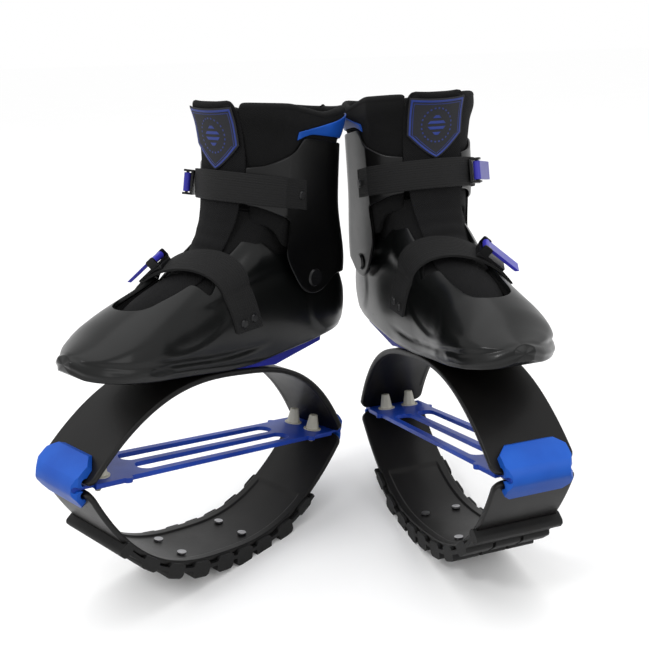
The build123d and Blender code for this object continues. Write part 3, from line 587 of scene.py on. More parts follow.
def woven(name, dark, light, pitch, stitch_rows):
    """Webbing: ribs that run across in two leaning rows, and stitch lines along both edges."""
    g = Graph(name)
    u, v = g.lengths()
    turn = 2 * math.pi / pitch
    rib = ((v + u * 0.5) * turn).wave() * ((v - u * 0.5) * turn).wave() * 0.5 + 0.5
    line = 1 - (u.rest(stitch_rows) - stitch_rows / 2).size().step(0.25, 0.7)
    thread = line * ((v * 2.1).wave() * 0.5 + 0.5).step(0.3, 0.6)
    nap = g.noise(1100, 2)
    return g.give(
        Base_Color=g.mix(rib * 0.5 + thread * 0.4 + nap * 0.15, dark, light),
        Roughness=nap * 0.12 + 0.72, Specular_IOR_Level=0.3,
        Normal=g.bump(rib + thread * 0.8, 0.0003),
    )


def steel(name, light, dark):
    """Plated steel: a soft mottle, with fine wear on it."""
    g = Graph(name)
    wear = g.noise(240, 5)
    return g.give(
        Base_Color=g.mix(wear, light, dark), Metallic=1.0, Roughness=wear * 0.25 + 0.2,
        Normal=g.bump(g.noise(900), 0.00003),
    )


def patch(name):
    """The badge: dark cloth with a raised border line, a ring of short bars and three level bands in it."""
    g = Graph(name)
    u, v = g.lengths()
    edge = g.node("ShaderNodeAttribute", {"attribute_name": "edge"}, output=2)
    weave = ((u * 7).wave() * (v * 7).wave()) * 0.5 + 0.5
    border = edge.step(1.1, 1.6) * (1 - edge.step(2.9, 3.4))
    hair = edge.step(4.1, 4.4) * (1 - edge.step(4.8, 5.1))
    across = u.size()
    up = v - badge_ring_height
    far = g.math("SQRT", u * u + up * up)
    ring = far.step(14.2, 14.6) * (1 - far.step(15.6, 16))
    bars = (g.math("ARCTAN2", up, u) * badge_ring_bars).wave().step(0, 0.3)
    inside = 1 - (across / badge_band_reach + up.size() / badge_band_reach).step(0.97, 1.03)
    bands = (up.rest(badge_band_pitch) - badge_band_pitch / 2).size()
    drawn = border.most(hair * 0.7).most(ring * bars * 0.8).most(inside * (1 - bands.step(1.1, 1.5)))
    colour = g.mix(g.noise(60, 4), tone(14, 36, 110), tone(24, 58, 150))
    cloth = g.mix(weave * 0.6, tone(8, 9, 14), tone(18, 20, 34))
    return g.give(
        Base_Color=g.mix(drawn, cloth, colour), Roughness=0.78 - drawn * 0.28,
        Normal=g.bump(drawn * 1.4 + weave * 0.3, 0.0003),
    )


shell_black = moulded("shell_black", tone(5, 6, 6), tone(11, 12, 12), 0.3, 0.105)
cuff_black = moulded("cuff_black", tone(5, 5, 6), tone(11, 11, 11), 0.32, 0.09)
bow_black = moulded("bow_black", tone(9, 8, 8), tone(17, 16, 15), 0.44, 0.036, 0.00007)
buckle_black = moulded("buckle_black", tone(11, 11, 12), tone(20, 20, 22), 0.38, 0.06)
trim_blue = moulded("trim_blue", tone(20, 72, 166), tone(32, 90, 190), 0.44, 0.036)
lever_blue = moulded("lever_blue", tone(44, 42, 150), tone(62, 60, 176), 0.34, 0.09)
wedge_blue = moulded("wedge_blue", tone(22, 28, 138), tone(34, 42, 162), 0.5, 0.015)
spring_blue = moulded("spring_blue", tone(20, 54, 150), tone(30, 72, 178), 0.4, 0.06)
cap_blue = moulded("cap_blue", tone(16, 72, 168), tone(28, 92, 192), 0.48, 0.03)
peg_white = moulded("peg_white", tone(176, 174, 162), tone(208, 205, 192), 0.5, 0.03)
footbed_grey = moulded("footbed_grey", tone(34, 34, 36), tone(48, 48, 50), 0.8, 0)
rivet_black = moulded("rivet_black", tone(12, 12, 13), tone(26, 26, 28), 0.3, 0.09)
tread_black = rubber("tread_black", tone(14, 14, 14), tone(34, 33, 31), 0.62)
lining_black = knitted("lining_black", tone(4, 4, 4), tone(19, 19, 20), 1.7)
tongue_black = knitted("tongue_black", tone(4, 4, 5), tone(21, 21, 22), 2.2)
binding_black = knitted("binding_black", tone(5, 5, 5), tone(22, 22, 23), 1.1)
strap_black = woven("strap_black", tone(6, 6, 6), tone(24, 24, 25), 2.2, 13)
steel_grey = steel("steel", tone(178, 178, 180), tone(120, 120, 124))
badge_patch = patch("badge_navy")


def give(piece, body, material, slot, *nodes):
    """The piece's material, the CAD nodes it stands for, and the body it rides on. Its slot argument is not
    used.
    """
    piece.data.materials.clear()
    piece.data.materials.append(material)
    if nodes:
        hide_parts(*nodes)
    if body:
        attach(piece, body)
    return piece


def arc(first, last, sag, outward, turn):
    """Points of the circle's arc from first to last that stands off its chord by sag. Turn is -1 to 1."""
    chord = last - first
    half = np.linalg.norm(chord, axis=-1, keepdims=True) / 2
    radius = (half * half + sag * sag) / (2 * sag)
    angle = turn * np.arctan2(half, radius - sag)
    along = chord / (2 * half)
    middle = (first + last) / 2
    return (
        middle[:, None] + along[:, None] * (radius * np.sin(angle))[..., None]
        + outward * (radius * np.cos(angle) - (radius - sag))[..., None]
    )


def boot_loops(x, inset, floor, count):
    """Cross sections of the boot's closed form at places x, each a loop that starts at the top middle and
    goes down the medial side: an arc over the crown, an arc down each side and a level sole, with soft
    corners."""
    heel, toe = boot_heel + inset, boot_toe - inset
    share = np.clip((x - heel) / (toe - heel), 0, 1)
    bottom, medial, lateral, shoulder, top = (
        curve(share, shell_rows[:, 0], shell_rows[:, k]) for k in range(1, 6)
    )
    low = sole_height + heel_lift * bottom + inset + floor
    high = sole_height + throat_rise * shoulder - inset * shoulder_share
    crown = sole_height + throat_rise * top - inset
    left, right = ball_half_width * medial - inset, ball_half_width * lateral + inset
    middle, half = (left + right) / 2, (left - right) / 2
    shoulder_left = np.stack([middle + half * shoulder_share, high], -1)
    shoulder_right = np.stack([middle - half * shoulder_share, high], -1)
    welt_left = np.stack([middle + half * welt_share, low], -1)
    welt_right = np.stack([middle - half * welt_share, low], -1)
    side_sag = (half * (1 - (welt_share + shoulder_share) / 2))[:, None]
    top_sag = (crown - high)[:, None]
    half_arc = 20
    turn = np.linspace(-1, 1, 2 * half_arc + 1)
    over = arc(shoulder_right, shoulder_left, top_sag, np.array((0, 1.0)), turn)
    down = arc(shoulder_left, welt_left, side_sag, np.array((1.0, 0)), turn)
    back = arc(welt_right, shoulder_right, side_sag, np.array((-1.0, 0)), turn)
    under = welt_left[:, None] + (welt_right - welt_left)[:, None] * ((turn + 1) / 2)[:, None]
    loop = np.concatenate([
        over[:, half_arc:-1], down[:, :-1], under[:, :-1], back[:, :-1], over[:, :half_arc + 1],
    ], 1)
    stretch = np.linalg.norm(np.diff(loop, axis=1), axis=-1)
    run = np.concatenate([np.zeros((len(x), 1)), np.cumsum(stretch, 1)], 1)
    even = np.linspace(0, 1, count + 1)[:-1]
    rows = [
        np.stack([np.interp(even * length[-1], length, line[:, k]) for k in (0, 1)], -1)
        for line, length in zip(loop, run)
    ]
    corner_blur, blur_count = 2.2, 320
    return blurred(np.array(rows), corner_blur * count / blur_count, axis=1, around=True), low


def boot_stations(rear, front):
    """Places along the boot, closer together at the heel, at the end of the vamp opening and at the toe."""
    ahead = np.concatenate([np.arange(*stretch) for stretch in boot_stretches] + [[boot_toe]])
    return ahead[(ahead >= rear) & (ahead <= front)]


def boot_form(x, inset, floor, count, opening, columns):
    """The boot's form between its rims: each loop is kept from the medial rim, under the sole, to the lateral
    rim. What lies over the rim line or within the vamp's opening is left out."""
    loop, low = boot_loops(x, inset, floor, count)
    y, z = loop[..., 0], loop[..., 1]
    rim = np.interp(x, rim_line[:, 0], rim_line[:, 1])[:, None]
    never = -1e3
    over_rim = np.where(x[:, None] <= rim_line[-1, 0], z - rim, never)
    half = np.where(
        x > vamp_reach - opening,
        np.sqrt(np.maximum(opening ** 2 - (x - vamp_reach + opening) ** 2, 0)),
        np.interp(x, (throat_place, vamp_reach - opening), (throat_half_width, opening)),
    )
    half = np.where(x >= vamp_reach, never, half)
    in_vamp = np.minimum(half[:, None] - np.abs(y), z - sole_height - vamp_floor)
    out = np.maximum(over_rim, in_vamp)

    def first_kept(values):
        at = np.argmax(values <= 0, 1)
        here = np.take_along_axis(values, at[:, None], 1)[:, 0]
        before = np.take_along_axis(values, np.maximum(at - 1, 0)[:, None], 1)[:, 0]
        return np.where(at > 0, at - here / np.minimum(here - before, -1e-6), 0)

    start, end = first_kept(out), count - first_kept(np.roll(out[:, ::-1], 1, 1))
    vamp_end, rim_blur = 3, 1.2
    open_part = x < vamp_reach - vamp_end
    start = np.where(open_part, blurred(start, rim_blur), start)
    end = np.where(open_part, blurred(end, rim_blur), end)
    at = start[:, None] + (end - start)[:, None] * np.linspace(0, 1, columns)
    index = np.floor(at).astype(int)
    part = (at - index)[..., None]
    near = np.take_along_axis(loop, (index % count)[..., None], 1)
    far = np.take_along_axis(loop, ((index + 1) % count)[..., None], 1)
    section = near * (1 - part) + far * part
    return np.concatenate([x[:, None, None] + np.zeros(section.shape[:2] + (1,)), section], -1), low


def capped(points, bulge_start, bulge_end):
    """Rows that close a tube at both ends: the end loops drawn in to their middle, standing out a little."""
    draw = np.array((0, 0.3, 0.55, 0.75, 0.9))[:, None, None]

    def cap(row, bulge):
        middle = row.mean(0)
        return middle + (row - middle) * draw + np.array((1.0, 0, 0)) * (bulge * (1 - draw ** 2))

    return np.concatenate([cap(points[0], -bulge_start), points, cap(points[-1], bulge_end)[::-1]])


def shell_surface():
    """The moulded shell's outer face, with a bumper and its groove round the toe, recesses in the bumper, a
    soft recess in each side panel and a raised heel counter. Each is a bell or a step of the distance from
    its line or centre."""
    x = boot_stations(boot_heel, boot_toe)
    points, low = boot_form(x, 0, 0, shell_loop_count, vamp_half_width, shell_columns)
    normal = normals_of(points)
    outward = np.sign((normal * (points - points.mean((0, 1)))).sum())
    normal = normal * outward
    along, up = points[..., 0], points[..., 2]
    side = np.clip(1 - np.abs(normal[..., 2]) * level_fade, 0, 1) * soft_step(up - low[:, None], *welt_fade)
    line = low[:, None] + bumper_height + bumper_heel_lift * soft_step(-along, *bumper_lift_fade)
    ahead = soft_step(along, *bumper_fade)
    bumper = (1 - soft_step(up - line, -bumper_edge, bumper_edge)) * side * ahead
    groove = np.exp(-((up - line) / groove_width) ** 2) * side * ahead
    change = bumper_relief * bumper - groove_depth * groove
    for place, level, length, height, depth in bumper_recesses:
        far = np.hypot((along - place) / length, (up - low[:, None] - level) / height)
        change -= depth * (1 - soft_step(far, *recess_fade)) * side
    turned = math.radians(panel_tilt_angle)
    ahead_of, over = along - panel_centre[0], up - panel_centre[1]
    a = ahead_of * math.cos(turned) + over * math.sin(turned)
    b = over * math.cos(turned) - ahead_of * math.sin(turned)
    panel = np.hypot(a / panel_half_sizes[0], b / panel_half_sizes[1])
    change -= panel_depth * (1 - soft_step(panel, *panel_fade)) * side
    counter = np.hypot(
        (along - counter_centre[0]) / counter_half_sizes[0], (up - counter_centre[1]) / counter_half_sizes[1],
    )
    change += counter_relief * (1 - soft_step(counter, *counter_fade)) * side
    return capped(points + normal * change[..., None], heel_bulge, toe_bulge)


def ring_sizes(rows, z, inset):
    """Front, rear and corner sizes of the ankle's long round at heights z."""
    rear, front, half = (curve(z, rows[:, 0], rows[:, k]) for k in (1, 2, 3))
    half = half - inset
    rear, front = rear + inset, front - inset
    front_sag, rear_sag = half * ring_front_share, half * ring_rear_share
    front_radius = (half ** 2 + front_sag ** 2) / (2 * front_sag)
    rear_radius = (half ** 2 + rear_sag ** 2) / (2 * rear_sag)
    front_run = front_radius * np.arctan2(half, front_radius - front_sag)
    rear_run = rear_radius * np.arctan2(half, rear_radius - rear_sag)
    straight = (front - front_sag) - (rear + rear_sag)
    return rear, front, half, front_radius, rear_radius, front_run, rear_run, straight


def ring_at(rows, z, share, inset):
    """The point at a share of the half round, from the middle of the front to the middle of the rear."""
    rear, front, half, front_radius, rear_radius, front_run, rear_run, straight = ring_sizes(rows, z, inset)
    run = share * (front_run + straight + rear_run)
    left = front_run + straight + rear_run - run
    front_turn, rear_turn = run / front_radius, left / rear_radius
    on_front, on_rear = run < front_run, left < rear_run
    x = np.where(
        on_front, front - front_radius + front_radius * np.cos(front_turn),
        np.where(on_rear, rear + rear_radius - rear_radius * np.cos(rear_turn),
                 front - half * ring_front_share - (run - front_run)),
    )
    y = np.where(
        on_front, front_radius * np.sin(front_turn), np.where(on_rear, rear_radius * np.sin(rear_turn), half)
    )
    return x, y


def ring_share(rows, z, x, mouth):
    """The share of the half round at which it passes place x, or the mouth's half width if that is further."""
    rear, front, half, front_radius, rear_radius, front_run, rear_run, straight = ring_sizes(rows, z, 0)
    total = front_run + straight + rear_run
    corner = front - half * ring_front_share
    on_front = front_radius * np.arccos(np.clip((x - front + front_radius) / front_radius, -1, 1))
    on_rear = total - rear_radius * np.arccos(np.clip((rear + rear_radius - x) / rear_radius, -1, 1))
    on_side = front_run + corner - x
    run = np.where(x > corner, on_front, np.where(x < rear + half * ring_rear_share, on_rear, on_side))
    least = front_radius * np.arcsin(np.clip(mouth / front_radius, 0, 1)) if mouth else 0
    return np.clip(np.maximum(run, least) / total, 0, 1)


def band_grid(rows, edges, mouth, turn, soft):
    """Shares and heights of a band's lower and upper edge, from its medial front, where turn is -1, round the
    rear to its lateral front, where turn is 1, with the edges' corners softened."""
    way = 1 - np.abs(turn)
    low_x, low_z, high_x, high_z = (np.interp(way, edges[:, 0], edges[:, k]) for k in (1, 2, 3, 4))
    low_z, high_z = blurred(low_z, soft), blurred(high_z, soft)
    low_share = blurred(ring_share(rows, low_z, low_x, mouth), soft)
    high_share = blurred(ring_share(rows, high_z, high_x, mouth), soft)
    side = np.where(turn < 0, 1.0, -1.0)
    return low_share, low_z, high_share, high_z, side


def band_points(rows, grid, up, inset):
    """Points of a band at shares up its height, drawn in by an inset that may vary."""
    low_share, low_z, high_share, high_z, side = (values[:, None] for values in grid)
    share = low_share + (high_share - low_share) * up
    z = low_z + (high_z - low_z) * up
    x, y = ring_at(rows, z, share, inset)
    return np.stack([x, y * side, z], -1)


def padded_band(rows, grid, thickness, columns, power, puff, end):
    """A stuffed band: a boxy round runs up its height and through its wall, which tapers at its two ends."""
    across, up = rounded(columns, power)
    steps = len(grid[0])
    way = np.linspace(0, 1, steps)[:, None]
    taper = np.sqrt(np.clip(1 - (1 - np.minimum(way, 1 - way) / end).clip(0, 1) ** 2, 0, 1))
    height = (0.5 + 0.5 * up)[None, :]
    swell = puff * np.sin(np.pi * height) * taper
    inset = thickness / 2 - across[None, :] * (thickness / 2 + swell) * taper
    return band_points(rows, grid, height + 0 * way, inset)


def walled_band(rows, grid, wall, columns):
    """A band with an even wall: its outer face, its inner face, a half round along each edge between them,
    and a quarter round at its two ends."""
    rounds = 8
    turn = np.linspace(0, np.pi, rounds)
    face = np.linspace(0, 1, columns)
    up = np.concatenate([face, np.ones(rounds - 2), face[::-1], np.zeros(rounds - 1)])
    out = np.concatenate([np.ones(columns), np.cos(turn[1:-1]), -np.ones(columns), -np.cos(turn[1:])])
    past = np.concatenate([np.zeros(columns), np.sin(turn[1:-1]), np.zeros(columns), -np.sin(turn[1:])])
    rim = wall / 2 / (grid[3] - grid[1])[:, None]
    height = up[None, :] * (1 - 2 * rim) + rim + rim * past[None, :]
    line = band_points(rows, grid, np.array([[0.5]]), 0)[:, 0]
    run = np.concatenate([[0], np.cumsum(np.linalg.norm(np.diff(line, axis=0), axis=-1))])
    near = np.minimum(np.minimum(run, run[-1] - run) / (wall / 2), 1)
    taper = np.sqrt(1 - (1 - near) ** 2)[:, None]
    return band_points(rows, grid, height, wall / 2 * (1 - out[None, :] * taper))


def ends_in(count, length, total):
    """1 along a piece, falling to 0 at both ends as a quarter round of that length."""
    way = np.linspace(0, total, count)
    near = np.minimum(way, total - way)
    return np.sqrt(np.clip(1 - (1 - np.minimum(near / length, 1)) ** 2, 0, 1))


def tongue_frame(steps):
    """Middle line of the tongue's front face, its half width and the direction into the boot."""
    knots = np.concatenate([[0], np.cumsum(np.hypot(*np.diff(tongue_rows[:, :2], axis=0).T))])
    run = np.linspace(0, knots[-1], steps)
    blur_share = 90
    x, z, half = (blurred(curve(run, knots, tongue_rows[:, k]), steps / blur_share) for k in range(3))
    along = np.stack([np.gradient(x), np.gradient(z)], -1)
    along /= np.linalg.norm(along, axis=-1, keepdims=True)
    return x, z, half, np.stack([-along[:, 1], along[:, 0]], -1), knots[-1]


def tongue_surface():
    """The stuffed tongue: a boxy round across it, crowned in front, that follows the shin and the instep,
    with soft folds over the instep where it bends."""
    x, z, half, inward, total = tongue_frame(tongue_steps)
    box_power, thin_end, narrow_end, narrow_share = 0.42, 7, 14, 0.72
    fold_height, fold_middle, fold_spread, fold_turn, puff = 0.7, 78, 22.0, 0.62, 0.9
    across, depth = rounded(81, box_power)
    thin = ends_in(tongue_steps, thin_end, total)[:, None]
    narrow = (narrow_share + (1 - narrow_share) * ends_in(tongue_steps, narrow_end, total))[:, None]
    place = across[None, :] * half[:, None] * narrow
    front = tongue_crown * (across[None, :] ** 2)
    step = np.arange(tongue_steps)
    fold = fold_height * np.exp(-((step - fold_middle) / fold_spread) ** 2) * np.sin(step * fold_turn)
    swell = (puff * np.cos(across * np.pi / 2) * (depth > 0))[None, :] + fold[:, None] * (depth > 0)[None, :]
    middle = (front + tongue_pad) / 2
    in_depth = middle - depth[None, :] * ((tongue_pad - front) / 2 + swell) * thin
    return np.stack([
        x[:, None] + inward[:, :1] * in_depth, place + 0 * in_depth, z[:, None] + inward[:, 1:] * in_depth
    ], -1)


def tongue_tip_path():
    """Path of the binding over the tongue's upper edge: it follows the crown and drops towards both sides."""
    x, z, half, inward = tongue_frame(tongue_steps)[:4]
    reach_share, row, set_in, crown, rise, drop = 0.86, -6, 3.6, 3, 1.2, 2.5
    share = np.linspace(-1, 1, 60)
    sunk = set_in + crown * share ** 2
    return np.stack([
        x[row] + inward[row, 0] * sunk, np.linspace(-reach_share, reach_share, 60) * half[row],
        z[row] + inward[row, 1] * sunk + rise - drop * share ** 4,
    ], -1)


def badge_surface():
    """The shield: pointed at the foot with swelling sides, laid over the tongue's crown. Its mark is the
    distance from its outline."""
    x, z, half, inward = tongue_frame(400)[:4]
    foot_power, stand_off, edge_drop, edge_width = 0.82, 0.9, 0.5, 0.8
    rise = np.linspace(0, badge_height, 90)
    width = badge_half_width * np.minimum(rise / badge_taper, 1) ** foot_power
    share = np.linspace(-1, 1, 61)
    level = badge_foot + rise
    middle_x, in_x, in_z, wide = (np.interp(level, z, v) for v in (x, inward[:, 0], inward[:, 1], half))
    y = share[None, :] * width[:, None]
    sunk = tongue_crown * (y / wide[:, None]) ** 2
    slope = np.gradient(width, rise)
    edge = np.minimum(
        (width[:, None] - np.abs(y)) / np.hypot(1, slope)[:, None], (badge_height - rise)[:, None],
    )
    lift = -(fit_gap + badge_thickness) - stand_off + edge_drop * (1 - soft_step(edge, 0, edge_width))
    depth = sunk + lift
    points = np.stack([
        middle_x[:, None] + in_x[:, None] * depth, y, level[:, None] + in_z[:, None] * depth,
    ], -1)
    uv = np.stack([y, rise[:, None] + 0 * y], -1)
    return points, uv, edge


def tube(path, radius, count=14):
    """A round cord along a path of points, closed at both ends."""
    along = np.gradient(path, axis=0)
    along /= np.linalg.norm(along, axis=-1, keepdims=True)
    first = np.cross(along, np.array((0, 0, 1.0)))
    first /= np.maximum(np.linalg.norm(first, axis=-1, keepdims=True), 1e-6)
    second = np.cross(along, first)
    turn = np.linspace(0, 2 * np.pi, count + 1)
    size = (radius * ends_in(len(path), 4, len(path) - 1.0))[:, None, None]
    return path[:, None] + size * (
        first[:, None] * np.cos(turn)[:, None] + second[:, None] * np.sin(turn)[:, None]
    )


def ankle_strap_surface():
    """Webbing round the front of the ankle, from the medial arm of the cuff to the lateral one, a boxy round
    in its thickness."""
    rows = ankle_rows.copy()
    rows[:, 2] += ankle_strap_front
    middle = np.array([(strap_low + strap_high) / 2])
    reach = ring_share(rows, middle, np.array([float(ankle_strap_back)]), 0)[0]
    way = np.linspace(-1, 1, strap_steps)
    across, up = rounded(41, 0.25)
    z = (strap_low + strap_high) / 2 + (strap_high - strap_low) / 2 * up[None, :] + 0 * way[:, None]
    thin = ends_in(strap_steps, 3, strap_steps - 1.0)[:, None]
    inset = -(fit_gap + strap_thickness / 2) - across[None, :] * strap_thickness / 2 * thin
    x, y = ring_at(rows, z, np.abs(way)[:, None] * reach + 0 * z, inset)
    return np.stack([x, y * np.sign(way)[:, None], z], -1)


def trim_surface():
    """The collar's trim: a boxy round in its thickness, laid on the collar and rounded off at its two ends."""
    grid = band_grid(collar_rows, trim_edges, 0, np.linspace(-1, 1, trim_steps), 3)
    across, up = rounded(41, 0.35)
    thin = ends_in(trim_steps, 3, trim_steps - 1.0)[:, None]
    inset = -fit_gap - strap_thickness / 2 - across[None, :] * strap_thickness / 2 * thin
    return band_points(collar_rows, grid, (0.5 + 0.5 * up)[None, :], inset)


def cap_cuts(end):
    """Flats that blunt a cap's nose and take off its corners. End is 1 for the front cap and -1 for the rear
    one."""
    along, rise = cap_slope_way
    cuts = [((end * cap_nose_cut, 0, hinge_height), (end, 0, 0))]
    for up in (1, -1):
        place = (end * cap_slope_cut, 0, hinge_height + up * cap_slope_height)
        cuts.append((place, (end * along, 0, up * rise)))
    for y in (-1, 1):
        for (x, z), (along, rise), depth in cap_corners:
            way = np.array((end * along, y, rise)) / math.sqrt(2)
            cuts.append((np.array((end * x, cap_half_width * y, z)) - depth * way, way))
    return cuts


def buckle_pad_surface():
    """A pad under the instep buckle's flat foot: a boxy round across, thicker with the square of the distance
    from its middle, where the strap curves away."""
    along, across = np.array(pad_along), np.array(pad_across)
    out = np.cross(along, across)
    run = np.linspace(-pad_half_length, pad_half_length, 41)
    thick = (pad_thickness + run ** 2 / pad_curve) * ends_in(41, 1, 2 * pad_half_length)
    wide, up = rounded(61, 0.3)
    depth = thick[:, None] / 2 * (up[None, :] - 1)
    return (
        np.array(pad_middle) + run[:, None, None] * along
        + pad_half_width * wide[None, :, None] * across + depth[..., None] * out
    )


def strap_lengths(piece, side):
    """Gives the instep strap's mesh its width and the run round its middle line, in millimetres, for the
    weave."""
    turn, dip = math.radians(instep_strap_turn), math.radians(instep_strap_dip)
    x_dir = np.array((-math.sin(turn), math.cos(turn), 0))
    z_dir = np.array((math.cos(dip) * math.cos(turn), math.cos(dip) * math.sin(turn), -math.sin(dip)))
    y_dir = np.cross(z_dir, x_dir)
    mesh = piece.data
    points = np.zeros(len(mesh.vertices) * 3)
    mesh.vertices.foreach_get("co", points)
    origin, *axes = stand_axes(side)
    in_boot = (points.reshape(-1, 3) * 1000 - origin) @ np.array(axes).T
    offset = in_boot - instep_strap_place + y_dir * instep_strap_centre
    run = np.arctan2(offset @ y_dir, offset @ x_dir) * instep_strap_radius
    corner = np.zeros(len(mesh.loops), np.int32)
    mesh.loops.foreach_get("vertex_index", corner)
    layer = mesh.uv_layers.new(name="UVMap")
    uv = np.stack([offset @ z_dir + instep_strap_width / 2, run], -1)
    layer.data.foreach_set("uv", uv[corner].ravel())
    return piece


def bow_surface(upper, rear=-1, front=1):
    """A bow: a flat strip with soft edges that follows the bow's power curve, drawn in at its end corners.
    The upper bow has a low lip inside along its edges, and the lower bow a tray sunk in its inner face. Rear
    and front are where the strip begins and stops, as turns of a sine, and a rear half is a little smaller
    where the front half covers it."""
    if upper:
        crown, change, power = upper_crown, -upper_drop, upper_power
    else:
        crown, change, power = lower_crown, lower_rise, lower_power
    place = bow_reach * np.sin(np.linspace(rear, front, bow_steps) * np.pi / 2)
    share = np.abs(place) / bow_reach
    slope = change * power * share ** (power - 1) / bow_reach * np.sign(place)
    height = crown + change * share ** power
    steep = np.hypot(1, slope)
    inward = np.stack([slope / steep, -1 / steep], -1) * (1 if upper else -1)
    run = np.concatenate([[0], np.cumsum(np.hypot(np.diff(place), np.diff(height)))])
    from_rear = run if rear == -1 else run * 0 + bow_reach
    from_front = run[-1] - run if front == 1 else run * 0 + bow_reach
    near = np.minimum(from_rear, from_front)
    half = bow_width / 2 - bow_corner + np.sqrt(
        np.clip(bow_corner ** 2 - np.clip(bow_corner - near, 0, None) ** 2, 0, None)
    )
    flat = np.concatenate([np.linspace(-1, 1, bow_columns), np.linspace(1, -1, bow_columns)[1:-1], [-1]])
    inner = np.concatenate([np.zeros(bow_columns), np.ones(bow_columns - 1)])
    y = flat[None, :] * half[:, None]
    edge = half[:, None] - np.abs(y)
    soft = bow_edge - np.sqrt(np.clip(bow_edge ** 2 - np.clip(bow_edge - edge, 0, None) ** 2, 0, None))
    depth = inner[None, :] * bow_thickness + np.where(inner[None, :] > 0, -soft, soft)
    thin = ends_in(bow_steps, bow_end, bow_steps - 1.0)[:, None]
    nested = 1 - bow_nest_share * soft_step(place, *bow_nest_fade)[:, None] if front < 1 else 1
    depth = bow_thickness / 2 + (depth - bow_thickness / 2) * thin * nested
    y = y * nested
    if upper:
        lip = np.exp(-((edge - lip_place) / lip_width) ** 2) * lip_height
        depth = depth + np.where(inner[None, :] > 0, lip, 0) * (near > lip_end)[:, None]
    else:
        sunk = soft_step(edge, tray_rim - tray_edge_outside, tray_rim + tray_edge_inside)
        sunk = sunk * soft_step(tray_reach - np.abs(place), -tray_end_edge, tray_end_edge)[:, None]
        depth = depth - inner[None, :] * sunk * tray_depth
    return np.stack([
        place[:, None] + inward[:, :1] * depth, y, height[:, None] + inward[:, 1:] * depth
    ], -1)


shell_points = shell_surface()
liner_rear, liner_front = -147, 132
liner_points = boot_form(
    boot_stations(liner_rear, liner_front), shell_wall + fit_gap, liner_floor, liner_loop_count,
    vamp_half_width + fit_gap, liner_columns,
)[0]
even_turn = np.linspace(-1, 1, band_steps)
eased_turn = even_turn * (1.5 - 0.5 * even_turn ** 2)
cuff_grid = band_grid(ankle_rows, cuff_edges, cuff_mouth, eased_turn, 1.8)
cuff_points = walled_band(ankle_rows, cuff_grid, cuff_wall, 46)
gusset_grid = band_grid(gusset_rows, gusset_edges, gusset_mouth, eased_turn, 2)
gusset_points = walled_band(gusset_rows, gusset_grid, gusset_wall, 40)
collar_grid = band_grid(collar_rows, collar_edges, collar_mouth, even_turn, 2.5)
collar_points = padded_band(collar_rows, collar_grid, collar_wall, 101, 0.3, 0.8, 0.035)
trim_points = trim_surface()
tongue_points = tongue_surface()
badge_points, badge_uv, badge_edge = badge_surface()
ankle_strap_points = ankle_strap_surface()
pad_points = buckle_pad_surface()
upper_rear_points = bow_surface(True, front=bow_overlap)
upper_front_points = bow_surface(True, rear=-bow_overlap)
lower_bow_points = bow_surface(False)
binding_level = np.array([[0.985]])
collar_rim = band_points(collar_rows, collar_grid, binding_level, collar_wall / 2)[6:-6, 0]
tongue_tip = tongue_tip_path()

cad_materials = {
    "footbed": footbed_grey, "mount_bolts": steel_grey, "shell_rivets": rivet_black,
    "cuff_rivets": rivet_black, "ankle_pivots": rivet_black, "tread_screws": steel_grey,
}
copies = (
    ("heel_wedge", "boot", 1.2, wedge_blue, "wedge_blue"),
    ("instep_buckle", "boot", 0.5, buckle_black, "buckle_black"),
    ("ankle_buckle", "cuff_frame", 0.5, buckle_black, "buckle_black"),
    ("ankle_lever", "ankle_latch", 0.7, lever_blue, "lever_blue"),
    ("instep_lever", "instep_latch", 0.7, lever_blue, "lever_blue"),
    ("rear_cap", "rear_end", 1.3, cap_blue, "cap_blue"),
    ("front_cap", "front_end", 1.3, cap_blue, "cap_blue"),
    ("rear_pegs", "rear_end", 0.7, peg_white, "peg_white"),
    ("front_pegs", "front_end", 0.7, peg_white, "peg_white"),
)

